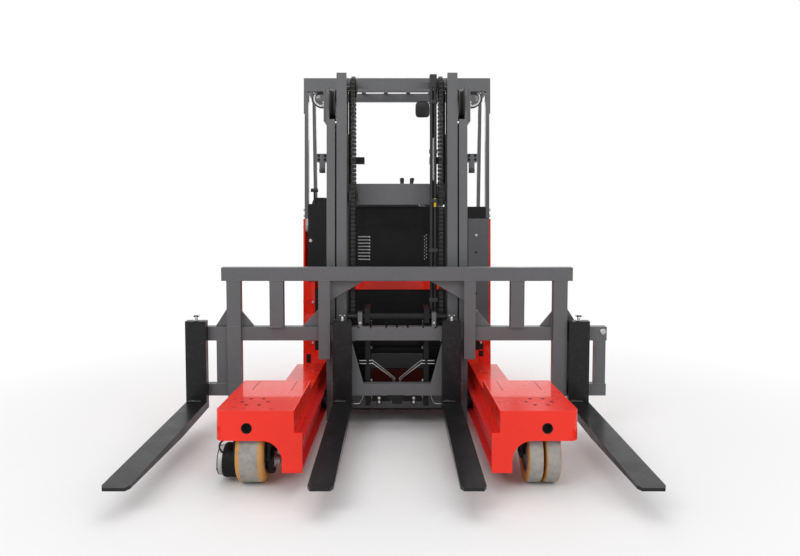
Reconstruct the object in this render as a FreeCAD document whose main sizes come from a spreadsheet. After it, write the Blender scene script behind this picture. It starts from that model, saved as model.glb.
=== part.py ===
import FreeCAD, Part
import os
import re
import Sketcher

# Multi-directional reach truck, in millimetres.  +Z is up, the forks point to -Y and +X is
# the side on the right of someone who faces the forks.  The origin lies on the floor, under
# the middle of the truck's overall box.

truck = FreeCAD.newDocument("ReachTruck")

# Driving sizes: each is one row of the sheet, with its name as alias
SIZES = {
    # Stance: where the legs and the body begin and end along the truck
    "leg_front": -1026, "body_front": 399, "body_rear": 1290, "body_half": 640, "plate": 12,
    # Straddle legs: a wheel housing in front, a lower beam behind it, a rail on the inside
    "leg_outer": 831, "leg_inner": 432, "housing_wall": 470, "housing_length": 575,
    "leg_top": 373, "leg_skin": 8, "apron_bottom": 236, "apron_low": 90, "arch_top": 618,
    "arch_foot": 525, "corner_cut": 40, "beam_outer": 680, "beam_top": 277, "beam_low": 113,
    "beam_step": 560, "beam_rise": 50, "eye_x": 686, "eye_height": 293, "eye_radius": 23,
    "rail_tip": 433, "rail_web": 10, "rail_top": 232, "rail_low": 88, "rail_lip": 19,
    # Steered wheel units
    "pivot_x": 680, "pivot_back": 150, "turntable_radius": 112, "turntable_height": 20,
    "pin_radius": 28, "drive_radius": 148, "drive_width": 132, "rim_radius": 98,
    "hub_radius": 52, "dish": 16, "drive_motor_radius": 77, "drive_motor_end": 140,
    "motor_drop": 50, "gear_radius": 62, "brake_radius": 68, "brake_end": 166, "hub_cone": 26,
    "hub_nose": 18, "hub_end": 124, "yoke_plate": 14, "yoke_length": 150, "running_gap": 0.5,
    "wheel_gap": 6, "crown_gap": 8, "shoulder": 9, "axle_gap": 0.5, "sleeve": 14,
    "fork_reach": 60, "caster_table": 70, "bracket_half": 90, "twin_radius": 142,
    "twin_width": 69, "twin_gap": 12, "axle_radius": 18, "rear_pivot_back": 230,
    "rear_drive_x": 330, "rear_caster_x": 390, "caster_radius": 95, "caster_width": 50,
    "caster_gap": 14, "caster_trail": 55, "caster_plate_drop": 120,
    # Chassis and body
    "skirt_low": 141, "base_top": 373, "band_low": 787, "band_top": 844, "band_proud": 18,
    "dash_top": 1370, "panel_top": 1270, "wall": 14, "front_wall_depth": 40, "corner_width": 80,
    "console_depth": 150, "floor_mat": 12, "cabin_depth": 416, "hood_top": 1150,
    "entry_post": 56, "cover_width": 155, "raise_in": 68, "cluster_width": 170,
    "raise_height": 44, "bolt_count": 6, "bolt_circle": 61.5, "bolt_hole": 6, "seam_drop": 143,
    "slit_x": 191, "slit_length": 75, "slit_depth": 12, "slit_low": 988, "slit_pitch": 22,
    "slit_height": 9, "slit_count": 8, "vent_in": 60, "vent_out": 260, "vent_low": 520,
    "vent_count": 10, "cover_low": 520, "lid": 30, "battery_gap": 28, "motor_gap": 60,
    "battery_height": 650, "motor_radius": 90, "rear_corner": 75, "motor_height": 320,
    "pad_half": 250, "pad_depth": 50, "pad_low": 900, "pad_top": 1130,
    # Overhead guard
    "guard_top": 2230, "guard_bar": 92, "guard_inset": 3, "guard_depth": 430, "guard_tube": 40,
    "rear_bar": 60, "slat_width": 30, "slat_height": 22, "slat_count": 6, "pillar_width": 31,
    "pillar_depth": 60, "pillar_slant": 110, "gusset_drop": 150, "gusset_plate": 6,
    "slat_pitch": 165, "lamp_in": 118, "lamp_drop": 130, "lamp_radius": 64, "lamp_can": 46,
    "lamp_rim": 8, "lamp_recess": 6, "lamp_grip": 16, "lamp_depth": 55, "lamp_back": 12,
    "lamp_tab": 10, "mirror_x": 137, "mirror_width": 108, "mirror_height": 115,
    "mirror_depth": 30, "steer_x": 220, "steer_radius": 75, "steer_post": 16, "steer_rise": 40,
    "steer_rim": 9, "spoke": 6, "lever_x": 35, "lever_pitch": 65, "lever_count": 2,
    "lever_radius": 11, "lever_rise": 180, "stop_in": 55, "stop_stem": 7, "stop_rise": 85,
    "stop_head": 24, "stop_cap": 24, "display_x": 160, "display_width": 130,
    "display_height": 60,
    # Mast
    "mast_outer": 425, "mast_lip": 374, "inner_face": 365, "inner_lip": 304, "mast_front": -101,
    "mast_depth": 160, "inner_depth": 150, "mast_wall": 16, "mast_foot": 45, "mast_top": 1863,
    "mast_ear_top": 2062, "ear_plate": 20, "inner_top": 2143, "inner_foot": 95, "tie_low": 1352,
    "tie_top": 1485, "tie_depth": 20, "foot_low": 75, "foot_top": 152, "sheave_radius": 98,
    "groove": 12, "bracket_reach": 65, "bracket_in": 40, "bracket_depth": 70,
    "bracket_low": 1611, "bracket_high": 48, "tab_in": 12, "tab_wide": 36, "tab_drop": 70,
    "tab_thick": 8, "knob_radius": 14, "knob_length": 26, "inner_tie_low": 2075,
    "inner_tie": 43, "head_drop": 120,
    # Reach carriage and its cylinder
    "reach_travel": 600, "reach_plate_length": 300, "side_plate": 30, "reach_plate_top": 400,
    "reach_plate_low": 60, "roller_radius": 52.7, "roller_width": 33, "roller_inset": 60,
    "reach_bore": 35, "reach_rod": 17, "reach_x": 150, "reach_height": 190, "reach_room": 60,
    "rod_gap": 0.3,
    # Lift cylinders, chains and hoses
    "lift_radius": 36, "lift_rod": 20, "lift_x": 338, "lift_barrel_top": 1800, "lift_drop": 50,
    "chain_x": 265, "chain_width": 36, "chain_depth": 20, "link_pitch": 30, "link_gap": 9,
    "link_core": 22, "chain_front": 12, "chain_back": 105, "chain_low": 560,
    "chain_back_low": 1330, "sheave_height": 2062, "stub_radius": 12, "clevis_gap": 6,
    "cheek": 6, "hose_x": 220, "hose_pitch": 12, "hose_radius": 9, "hose_back": 27,
    "hose_low": 620,
    # Lift carriage and tilt cylinder
    "cheek_in": 160, "carriage_cheek": 30, "carriage_low": 140, "carriage_rise": 104,
    "carriage_nose": 19, "carriage_roller": 58.7, "roller_rise": 75, "roller_drop": 155,
    "tilt_tube": 20, "tilt_tube_half": 292, "tilt_height": 185, "tilt_barrel_front": 118,
    "tilt_barrel_radius": 35, "tilt_rod": 14, "tilt_stroke": 55, "tilt_eye_back": 60,
    "tilt_eye": 20, "eye_width": 24, "eye_pin": 8, "eye_slot": 4, "eye_lug": 22,
    # Fork carriage
    "shank_front": -238, "shank_depth": 45, "tilt_axis_back": 80, "tilt_axis_rise": 53,
    "tilt_rest": 3, "fork_rise": 41, "fork_heel": 191, "fork_length": 1079, "fork_thick": 45,
    "fork_tip": 14, "fork_taper": 430, "fork_chamfer": 25, "inner_fork_in": 264,
    "inner_fork_wide": 110, "outer_fork_wide": 120, "left_fork_in": 3, "right_fork_in": 114,
    "bar_depth": 45, "bar_half": 1236, "bar_low": 544, "bar_top": 626, "sill_bar_low": 215,
    "sill_bar_top": 285, "rest_low": 900, "rest_top": 979, "rest_in": 210, "rest_depth": 50,
    "rest_proud": 20, "outer_post_in": 321, "outer_post_wide": 82, "middle_post_in": 571,
    "middle_post_wide": 80, "inner_post": 392, "inner_post_wide": 68, "inner_post_low": 436,
    "end_post_in": 234, "end_post_wide": 62, "far_post_in": 68, "far_post_wide": 62,
    "notch_first": 63, "notch_second": 155, "notch_third": 228, "notch_wide": 10,
    "notch_depth": 9, "taper_top": 268, "taper_out": 350, "taper_foot": 198, "taper_depth": 12,
    "lug_in": 205, "lug_wide": 25, "lug_radius": 30, "gusset_drop_big": 120,
    "gusset_run_big": 205, "gusset_thick": 10, "hook_height": 24, "hook_depth": 18,
}

sheet = truck.addObject("Spreadsheet::Sheet", "Sizes")
for row, (name, size) in enumerate(SIZES.items(), 1):
    sheet.set("A%d" % row, name)
    sheet.set("B%d" % row, str(size))
    sheet.setAlias("B%d" % row, name)


def bound(formula):
    """A formula in the sizes' names, written as an expression on the sheet."""
    text = str(formula)
    return re.sub(r"[A-Za-z_]\w*", lambda word: "Sizes." + word.group()
                  if word.group() in SIZES else word.group(), text)


def bind(item, **formulas):
    """Ties properties of one object to the sheet; a double underscore stands for a dot."""
    for name, formula in formulas.items():
        item.setExpression(name.replace("__", "."), bound(formula))


def at(item, x="0", y="0", z="0"):
    bind(item, Placement__Base__x=x, Placement__Base__y=y, Placement__Base__z=z)
    return item


def flip(side, span):
    """A span along X, mirrored where side is -1."""
    low, high = span
    return span if side > 0 else ("-(%s)" % high, "-(%s)" % low)


def box(x, y, z, label="block"):
    """A block between two corners, each given as a span of formulas."""
    block = truck.addObject("Part::Box", "Block")
    block.Label = label
    bind(block, Length="(%s) - (%s)" % (x[1], x[0]), Width="(%s) - (%s)" % (y[1], y[0]),
         Height="(%s) - (%s)" % (z[1], z[0]))
    return at(block, x[0], y[0], z[0])


TURN = {"x": FreeCAD.Rotation(FreeCAD.Vector(0, 1, 0), 90),
        "y": FreeCAD.Rotation(FreeCAD.Vector(1, 0, 0), -90),
        "z": FreeCAD.Rotation()}


def rod(axis, start, radius, length, label="rod"):
    """A round bar that runs from start along +axis."""
    bar = truck.addObject("Part::Cylinder", "Rod")
    bar.Label = label
    bind(bar, Radius=radius, Height=length)
    bar.Placement = FreeCAD.Placement(FreeCAD.Vector(), TURN[axis])
    return at(bar, *start)


def cone(axis, start, radius, end_radius, length, label="cone"):
    bar = truck.addObject("Part::Cone", "Cone")
    bar.Label = label
    bind(bar, Radius1=radius, Radius2=end_radius, Height=length)
    bar.Placement = FreeCAD.Placement(FreeCAD.Vector(), TURN[axis])
    return at(bar, *start)


def ring(start, radius, thickness):
    """A round rim that lies level about start."""
    rim = truck.addObject("Part::Torus", "Ring")
    bind(rim, Radius1=radius, Radius2=thickness)
    return at(rim, *start)


def fuse(label, parts):
    """One welded piece, or several apart that share a node."""
    whole = truck.addObject("Part::MultiFuse", "Weld")
    whole.Label = label
    whole.Shapes = list(parts)
    return whole


def cut(label, base, tools):
    rest = truck.addObject("Part::Cut", "Cut")
    rest.Label = label
    rest.Base = base
    rest.Tool = tools[0] if len(tools) == 1 else fuse(label + "_tools", tools)
    return rest


PLANES = {"x": "YZ_Plane", "y": "XZ_Plane", "z": "XY_Plane"}


def sketch_on(body, axis, level):
    """A sketch square to an axis of the truck, at a level along it."""
    drawing = body.newObject("Sketcher::SketchObject", "Sketch")
    plane = [f for f in body.Origin.OriginFeatures if f.Role == PLANES[axis]][0]
    drawing.AttachmentSupport = [(plane, "")]
    drawing.MapMode = "FlatFace"
    sign = "-" if axis == "y" else ""
    drawing.setExpression("AttachmentOffset.Base.z", "%s(%s)" % (sign, bound(level)))
    return drawing


def pin_point(drawing, edge, end, point):
    """Holds one end of an edge at a point given by two formulas."""
    for kind, formula in (("DistanceX", point[0]), ("DistanceY", point[1])):
        index = drawing.addConstraint(Sketcher.Constraint(kind, -1, 1, edge, end, 1.0))
        drawing.setExpression("Constraints[%d]" % index, bound(formula))


def outline(drawing, points):
    """Draws a closed outline of straight edges through the points."""
    count = len(points)
    for number in range(count):
        start = FreeCAD.Vector(number, number * number, 0)
        after = (number + 1) % count
        drawing.addGeometry(Part.LineSegment(start, FreeCAD.Vector(after, after * after, 0)))
    for number in range(count):
        after = (number + 1) % count
        drawing.addConstraint(Sketcher.Constraint("Coincident", number, 2, after, 1))
    for number, point in enumerate(points):
        pin_point(drawing, number, 1, point)


def plate(label, axis, points, low, high):
    """A body padded along an axis from an outline; square to y the outline reads (x, z)."""
    body = truck.addObject("PartDesign::Body", "Plate")
    body.Label = label
    drawing = sketch_on(body, axis, high if axis == "y" else low)
    outline(drawing, points)
    pad = body.newObject("PartDesign::Pad", "Pad")
    pad.Profile = drawing
    bind(pad, Length="(%s) - (%s)" % (high, low))
    drawing.Visibility = False
    return body


def turned(label, points, x, y, z):
    """A body turned about an axis along X: the outline reads (x, radius)."""
    body = truck.addObject("PartDesign::Body", "Turning")
    body.Label = label
    drawing = sketch_on(body, "y", "0")
    outline(drawing, points)
    turn = body.newObject("PartDesign::Revolution", "Turn")
    turn.Profile = drawing
    turn.ReferenceAxis = (drawing, ["H_Axis"])
    turn.Angle = 360
    return at(body, x, y, z)


def value(name):
    return float(sheet.get(name))


nodes = []


def piece(item):
    """Marks a finished sub-part, which is written to its own file."""
    nodes.append(item)
    return item


SIDES = (("left", -1), ("right", 1))

truck.recompute()


# ---------------------------------------------------------------- straddle legs

def round_block(side, x, y, z, radius):
    """A block whose front outer vertical edge is rounded."""
    inner, outer = x
    front, back = y
    corner = "%s - %s" % (outer, radius) if side > 0 else "-(%s - %s)" % (outer, radius)
    parts = [box(flip(side, (inner, outer)), ("%s + %s" % (front, radius), back), z),
             box(flip(side, (inner, "%s - %s" % (outer, radius))), (front, back), z),
             rod("z", (corner, "%s + %s" % (front, radius), z[0]), radius,
                 "(%s) - (%s)" % (z[1], z[0]))]
    whole = fuse("housing_block", parts)
    whole.Refine = True
    return whole


def leg(name, side):
    """Wheel housing open below, its apron on the inside, and the beam to the body."""
    back = "leg_front + housing_length"
    shell = cut("housing", round_block(side, ("housing_wall", "leg_outer"),
                                       ("leg_front", back), ("apron_bottom", "leg_top"),
                                       "corner_cut"),
                [round_block(side, ("housing_wall + leg_skin", "leg_outer - leg_skin"),
                             ("leg_front + leg_skin", back + " - leg_skin"),
                             ("apron_bottom - 1", "leg_top - plate"),
                             "(corner_cut - leg_skin)")])
    arch = "(arch_top - arch_foot)"
    sign = "-" if side < 0 else ""
    apron = cut("apron", box(flip(side, ("leg_inner", "arch_top")),
                             ("leg_front", "leg_front + leg_skin"),
                             ("apron_low", "apron_bottom")),
                [rod("y", (sign + "arch_top", "leg_front - 1", "apron_bottom - " + arch),
                     arch, "leg_skin + 2"),
                 box(flip(side, ("arch_foot", "arch_top + 1")),
                     ("leg_front - 1", "leg_front + leg_skin + 1"),
                     ("apron_low - 1", "apron_bottom - " + arch))])
    collar = box(flip(side, ("leg_inner", "housing_wall")),
                 ("leg_front", "leg_front + leg_skin"), ("apron_bottom", "rail_top + 40"))
    wall = box(flip(side, ("housing_wall", "housing_wall + leg_skin")),
               ("leg_front + leg_skin", back), ("rail_low", "apron_bottom"))
    beam = box(flip(side, ("housing_wall", "beam_outer")), (back, "body_front"),
               ("beam_low", "beam_top"))
    ridge = box(flip(side, ("housing_wall", "beam_step")), (back, "body_front"),
                ("beam_top", "beam_top + beam_rise"))
    holes = [rod("y", (sign + "eye_x", "leg_front - 1", "eye_height"), "eye_radius",
                 "leg_skin + 2")]
    for number in range(int(value("bolt_count"))):
        turn = "%d * 360 / bolt_count" % number
        holes.append(rod("z", ("%spivot_x + bolt_circle * cos(%s)" % (sign, turn),
                               "leg_front + pivot_back + bolt_circle * sin(%s)" % turn,
                               "leg_top - plate - 1"), "bolt_hole", "plate + 2"))
    return cut(name, fuse("leg_weld", [shell, apron, collar, wall, beam, ridge]), holes)


def rail(name, side):
    """Channel that the reach rollers run in, open towards the middle of the truck."""
    y = ("leg_front + leg_skin", "body_front")
    whole = box(flip(side, ("rail_tip", "housing_wall")), y, ("rail_low", "rail_top"))
    run = box(flip(side, ("rail_tip - 1", "housing_wall - rail_web")),
              (y[0] + " - 1", y[1] + " + 1"),
              ("rail_low + rail_lip", "rail_top - rail_lip"))
    return cut(name, whole, [run])


for name, side in SIDES:
    piece(leg("leg_" + name, side))
    piece(rail("leg_rail_" + name, side))


# ---------------------------------------------------------------- chassis and body

def rounded(x, y, z, radius):
    """A block whose two rear upright edges are round."""
    parts = [box(x, (y[0], "%s - (%s)" % (y[1], radius)), z),
             box(("%s + %s" % (x[0], radius), "%s - (%s)" % (x[1], radius)), y, z)]
    for centre in ("%s + %s" % (x[0], radius), "%s - (%s)" % (x[1], radius)):
        parts.append(rod("z", (centre, "%s - (%s)" % (y[1], radius), z[0]), radius,
                         "(%s) - (%s)" % (z[1], z[0])))
    whole = fuse("rounded_block", parts)
    whole.Refine = True
    return whole


across = ("-body_half", "body_half")
length = ("body_front", "body_rear")
inside_across = ("-(body_half - plate)", "body_half - plate")
skirt = cut("skirt", rounded(across, length, ("skirt_low", "base_top - plate"), "rear_corner"),
            [rounded(inside_across, ("body_front + plate", "body_rear - plate"),
                     ("skirt_low - 1", "base_top - plate + 1"), "rear_corner - plate")])
frame = [rounded(across, length, ("base_top - plate", "base_top"), "rear_corner"), skirt]
frame.append(box(("-rear_caster_x - bracket_half", "-rear_caster_x + bracket_half"),
                 ("body_rear - rear_pivot_back - bracket_half",
                  "body_rear - rear_pivot_back + bracket_half"),
                 ("base_top - plate - caster_plate_drop", "base_top - plate")))
piece(cut("chassis_frame", fuse("frame_weld", frame),
          [rod("y", ("-reach_x", "body_front - 1", "reach_height"), "reach_rod + 5",
               "plate + 2")]))

wall_front = ("body_front", "body_front + front_wall_depth")
between = ("-(body_half - corner_width)", "body_half - corner_width")
piece(box(between, wall_front, ("base_top", "band_low"), "front_wall"))
piece(box(("-(body_half - cover_width)", "body_half - cover_width"),
          ("body_front - band_proud", "body_front + front_wall_depth"),
          ("band_low", "band_top"), "front_band"))

dash = box(("-(body_half - wall - cluster_width)", "body_half - wall"), wall_front,
           ("band_top", "dash_top - seam_drop"))
slits = [box(("-(slit_x + slit_length)", "-slit_x"),
             ("body_front - 1", "body_front + slit_depth"),
             ("slit_low + %d * slit_pitch" % number,
              "slit_low + %d * slit_pitch + slit_height" % number))
         for number in range(int(value("slit_count")))]
piece(cut("dash_panel", dash, slits))

inside = "body_half - guard_inset - pillar_width"
console = [box(("-(%s)" % inside, inside), ("body_front", "body_front + console_depth"),
               ("dash_top - seam_drop", "dash_top - 18")),
           box(("-(%s)" % inside, "-(body_half - wall - cluster_width)"),
               ("body_front - plate", "body_front + console_depth"),
               ("band_top", "dash_top")),
           box(("-(body_half - wall - raise_in)", "-(body_half - wall - cluster_width)"),
               ("body_front + 10", "body_front + console_depth"),
               ("dash_top", "dash_top + raise_height"))]
piece(fuse("console", console))

corner = ("body_half - corner_width", "body_half - wall")
piece(fuse("corner_posts", [box(flip(side, corner), wall_front, ("base_top", "band_top"))
                            for name, side in SIDES]))
piece(box(("body_half - cover_width", "body_half - wall"), ("body_front - plate", "body_front"),
          ("cover_low", "panel_top"), "corner_cover"))

panel = ("body_half - wall", "body_half")
cabin_back = "body_front + front_wall_depth + cabin_depth"
piece(box(flip(-1, panel), ("body_front", cabin_back), ("base_top", "panel_top"),
          "side_panel_left"))
piece(box(panel, ("body_front", "body_front + entry_post"), ("base_top", "panel_top"),
          "side_panel_right"))
floor_z = ("base_top", "base_top + floor_mat")
piece(fuse("operator_floor", [
    box(("-(body_half - wall)", "body_half - wall"),
        ("body_front + front_wall_depth", cabin_back), floor_z),
    box(panel, ("body_front + entry_post", cabin_back), floor_z)]))

vents = [box(flip(side, ("vent_in", "vent_out")), ("body_rear - slit_depth / 2", "body_rear + 1"),
             ("vent_low + %d * slit_pitch" % number,
              "vent_low + %d * slit_pitch + slit_height" % number))
         for name, side in SIDES for number in range(int(value("vent_count")))]
piece(cut("rear_hood", rounded(across, (cabin_back, "body_rear"), ("base_top", "hood_top"),
                               "rear_corner"),
          [rounded(inside_across, (cabin_back + " + plate", "body_rear - plate"),
                   ("base_top - 1", "hood_top + 1"), "rear_corner - plate")] + vents))
lid = rounded(across, (cabin_back, "body_rear"), ("hood_top", "hood_top + lid"), "rear_corner")
lid.Label = "hood_lid"
piece(lid)
piece(box(("-(body_half - plate - battery_gap)", "rear_drive_x - motor_radius - motor_gap"),
          (cabin_back + " + plate + 20", "body_rear - plate - 20"),
          ("base_top", "base_top + battery_height"), "battery"))
piece(rod("z", ("rear_drive_x", "body_rear - rear_pivot_back", "base_top"),
          "motor_radius", "motor_height", "drive_motor"))
piece(box(("-pad_half", "pad_half"), (cabin_back + " - pad_depth", cabin_back),
          ("pad_low", "pad_top"), "back_pad"))


# ---------------------------------------------------------------- overhead guard

guard_span = ("-(body_half - guard_inset)", "body_half - guard_inset")
rear_edge = "body_front + guard_depth"
roof = [box(guard_span, ("body_front", "body_front + guard_tube"),
            ("guard_top - guard_bar", "guard_top")),
        box(guard_span, (rear_edge + " - guard_tube", rear_edge),
            ("guard_top - slat_height - rear_bar", "guard_top - slat_height"))]
for name, side in SIDES:
    roof.append(box(flip(side, ("body_half - guard_inset - guard_tube", "body_half - guard_inset")),
                    ("body_front + guard_tube", rear_edge),
                    ("guard_top - slat_height - guard_tube", "guard_top")))
for number in range(int(value("slat_count"))):
    middle = "(%d - (slat_count - 1) / 2) * slat_pitch" % number
    roof.append(box((middle + " - slat_width / 2", middle + " + slat_width / 2"),
                    ("body_front + guard_tube", rear_edge),
                    ("guard_top - slat_height", "guard_top")))
piece(fuse("overhead_guard", roof))

pillar = (inside, "body_half - guard_inset - gusset_plate")
front_pillars = [box(flip(side, pillar), ("body_front", "body_front + pillar_depth"),
                     ("panel_top", "guard_top - guard_bar")) for name, side in SIDES]
front_pillars += [box(flip(side, (pillar[1], "body_half - guard_inset")),
                      ("body_front", "body_front + pillar_depth"),
                      ("guard_top - guard_bar - gusset_drop", "guard_top - guard_bar"))
                  for name, side in SIDES]
slant = [(rear_edge, "guard_top - slat_height - rear_bar"),
         (rear_edge + " - guard_tube", "guard_top - slat_height - rear_bar"),
         (rear_edge + " - guard_tube + pillar_slant", "hood_top + lid"),
         (rear_edge + " + pillar_slant", "hood_top + lid")]
pillars = front_pillars
for name, side in SIDES:
    x = flip(side, pillar)
    pillars.append(plate("rear_pillar_" + name, "x", slant, x[0], x[1]))
piece(fuse("guard_pillars", pillars))

lamp_x = "body_half - guard_inset - lamp_in"
lamps = []
for name, side in SIDES:
    sign = "-" if side < 0 else ""
    middle = (sign + "(%s)" % lamp_x, "body_front + guard_tube + lamp_back",
              "guard_top - lamp_drop")
    rim = cut("lamp_rim", rod("y", middle, "lamp_radius", "lamp_depth / 2"),
              [rod("y", (middle[0], middle[1] + " - 1", middle[2]), "lamp_radius - lamp_rim",
                   "lamp_recess + 1")])
    lamps.append(fuse("lamp", [
        rim, rod("y", (middle[0], middle[1] + " + lamp_depth / 2", middle[2]), "lamp_can",
                 "lamp_depth / 2"),
        box(flip(side, (lamp_x + " - lamp_tab", lamp_x + " + lamp_tab")),
            ("body_front + guard_tube", "body_front + guard_tube + lamp_back + lamp_depth / 2"),
            ("guard_top - lamp_drop + lamp_radius - lamp_grip",
             "guard_top - lamp_drop + lamp_radius + lamp_grip"))]))
piece(fuse("work_lamps", lamps))
piece(box(("mirror_x", "mirror_x + mirror_width"),
          (rear_edge + " - guard_tube", rear_edge + " - guard_tube + mirror_depth"),
          ("guard_top - slat_height - rear_bar - mirror_height",
           "guard_top - slat_height - rear_bar"), "mirror"))

# ---------------------------------------------------------------- operator's controls

console_y = "body_front + console_depth"
console_top = "dash_top - 18"
wheel_hub = ("-steer_x", console_y + " - steer_radius", console_top + " + steer_rise")
steering = fuse("steering_wheel", [
    rod("z", (wheel_hub[0], wheel_hub[1], console_top), "steer_post", "steer_rise + steer_rim"),
    ring(wheel_hub, "steer_radius - steer_rim", "steer_rim"),
    rod("x", ("-(steer_x + steer_radius - steer_rim)",) + wheel_hub[1:], "spoke",
        "2 * (steer_radius - steer_rim)"),
    rod("y", (wheel_hub[0], wheel_hub[1], wheel_hub[2]), "spoke",
        "steer_radius - steer_rim")])
piece(steering)
levers = [rod("z", ("lever_x + %d * lever_pitch" % number, console_y + " - 60", console_top),
              "lever_radius", "lever_rise + %d * 20" % number)
          for number in range(int(value("lever_count")))]
piece(fuse("control_levers", levers))
stop = fuse("stop_button", [
    rod("z", ("-(body_half - wall - stop_in)", "body_front + 60", "dash_top"), "stop_stem", "stop_rise"),
    rod("z", ("-(body_half - wall - stop_in)", "body_front + 60", "dash_top + stop_rise"), "stop_head",
        "stop_cap")])
piece(stop)
piece(box(("display_x", "display_x + display_width"),
          (console_y + " - 70", console_y + " - 30"),
          (console_top, console_top + " + display_height"), "display"))

# ---------------------------------------------------------------- steered wheel units

FRONT_Y = "leg_front + pivot_back"
REAR_Y = "body_rear - rear_pivot_back"


def turntable(x, y, top, radius, pin):
    """Disc and king pin that turn under a plate whose underside is at top."""
    return [rod("z", (x, y, top + " - turntable_height"), radius,
                "turntable_height - running_gap"),
            rod("z", (x, y, top + " - turntable_height - 8"), pin, "12")]


def drive_unit(name, x, y, top, motor):
    """Yoke over a drive wheel; on the front unit motor, brake and gear hub hang lower."""
    gap = "(drive_width / 2 + wheel_gap)"
    parts = turntable(x, y, top, "turntable_radius", "pin_radius")
    low = "drive_radius * 2 + crown_gap"
    parts.append(box((x + " - %s - yoke_plate" % gap, x + " + %s + yoke_plate" % gap),
                     (y + " - yoke_length / 2", y + " + yoke_length / 2"),
                     (low, top + " - turntable_height")))
    for edge in (-1, 1):
        cheek = flip(edge, (gap, gap + " + yoke_plate"))
        parts.append(box((x + " + %s" % cheek[0], x + " + %s" % cheek[1]),
                         (y + " - yoke_length / 2", y + " + yoke_length / 2"),
                         ("drive_radius - axle_radius - 14", low)))
    parts.append(rod("x", (x + " - %s - yoke_plate" % gap, y, "drive_radius"),
                     "axle_radius", "2 * (%s + yoke_plate)" % gap))
    if motor:
        shaft = "drive_radius - motor_drop"
        parts += [
            rod("x", (x + " - drive_motor_end", y, shaft), "drive_motor_radius",
                "drive_motor_end - %s" % gap),
            rod("x", (x + " - brake_end", y, shaft), "brake_radius",
                "brake_end - drive_motor_end"),
            rod("x", (x + " + " + gap, y, shaft), "gear_radius", "yoke_plate + 10"),
            cone("x", (x + " + %s + yoke_plate" % gap, y, shaft), "hub_cone", "hub_nose",
                 "hub_end - %s - yoke_plate" % gap)]
    return fuse(name, parts)


def dished(half, bore, hub, rim):
    """The bore and the two hollowed faces of a wheel, as far out as its rim."""
    return [("-" + half, rim), ("-(%s - dish)" % half, rim), ("-(%s - dish)" % half, hub),
            ("-" + half, hub), ("-" + half, bore), (half, bore), (half, hub),
            (half + " - dish", hub), (half + " - dish", rim), (half, rim)]


def drive_wheel(name, x, y):
    """Tread on a hub, bored for its axle, with bevelled shoulders."""
    half = "drive_width / 2"
    bore = "axle_radius + axle_gap"
    points = dished(half, bore, "hub_radius", "rim_radius")
    points += [(half, "drive_radius - shoulder"), (half + " - shoulder", "drive_radius"),
               ("-(%s - shoulder)" % half, "drive_radius"),
               ("-" + half, "drive_radius - shoulder")]
    return turned(name, points, x, y, "drive_radius")


def twin_unit(name, x, y, top, radius, width, gap, trail, table, low_top):
    """Fork over a pair of small wheels, whose axle stands a trail behind the king pin."""
    half = "(%s + %s / 2 + wheel_gap)" % (width, gap)
    axle_y = "%s + %s" % (y, trail)
    parts = turntable(x, y, top, table, table + " / 4")
    parts.append(box((x + " - %s - yoke_plate" % half, x + " + %s + yoke_plate" % half),
                     (y + " - fork_reach", axle_y + " + fork_reach"),
                     (low_top, top + " - turntable_height")))
    for edge in (-1, 1):
        cheek = flip(edge, (half, half + " + yoke_plate"))
        parts.append(box((x + " + %s" % cheek[0], x + " + %s" % cheek[1]),
                         (axle_y + " - fork_reach / 2", axle_y + " + fork_reach / 2"),
                         (radius + " - axle_radius - 10", low_top)))
    parts.append(rod("x", (x + " - %s - yoke_plate" % half, axle_y, radius), "axle_radius",
                     "2 * (%s + yoke_plate)" % half))
    return fuse(name, parts)


def twin_wheels(name, x, y, radius, width, gap, trail):
    """Two treads on one sleeve that turns on the axle."""
    half = "(%s + %s / 2)" % (width, gap)
    bore = "axle_radius + axle_gap"
    neck = "(%s) + sleeve" % bore
    points = dished(half, bore, neck, radius + " * 0.66")
    points += [(half, radius + " - shoulder"),
               (half + " - shoulder", radius), (gap + " / 2 + shoulder", radius),
               (gap + " / 2", radius + " - shoulder"), (gap + " / 2", neck),
               ("-%s / 2" % gap, neck), ("-%s / 2" % gap, radius + " - shoulder"),
               ("-(%s / 2 + shoulder)" % gap, radius),
               ("-(%s - shoulder)" % half, radius), ("-" + half, radius + " - shoulder")]
    return turned(name, points, x, "%s + %s" % (y, trail), radius)


leg_ceiling = "leg_top - plate"
base_ceiling = "base_top - plate"
piece(drive_unit("drive_unit_front", "-pivot_x", FRONT_Y, leg_ceiling, True))
piece(drive_wheel("drive_wheel_front", "-pivot_x", FRONT_Y))
piece(twin_unit("twin_unit_front", "pivot_x", FRONT_Y, leg_ceiling, "twin_radius",
                "twin_width", "twin_gap", "0", "turntable_radius",
                "(twin_radius * 2 + crown_gap)"))
piece(twin_wheels("twin_wheels_front", "pivot_x", FRONT_Y, "twin_radius", "twin_width",
                  "twin_gap", "0"))
piece(drive_unit("drive_unit_rear", "rear_drive_x", REAR_Y, base_ceiling, False))
piece(drive_wheel("drive_wheel_rear", "rear_drive_x", REAR_Y))
caster_top = "base_top - plate - caster_plate_drop"
piece(twin_unit("caster_fork_rear", "-rear_caster_x", REAR_Y, caster_top, "caster_radius",
                "caster_width", "caster_gap", "caster_trail", "caster_table",
                "(caster_radius * 2 + crown_gap)"))
piece(twin_wheels("caster_wheels_rear", "-rear_caster_x", REAR_Y, "caster_radius",
                  "caster_width", "caster_gap", "caster_trail"))


# ---------------------------------------------------------------- mast and reach carriage

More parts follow.
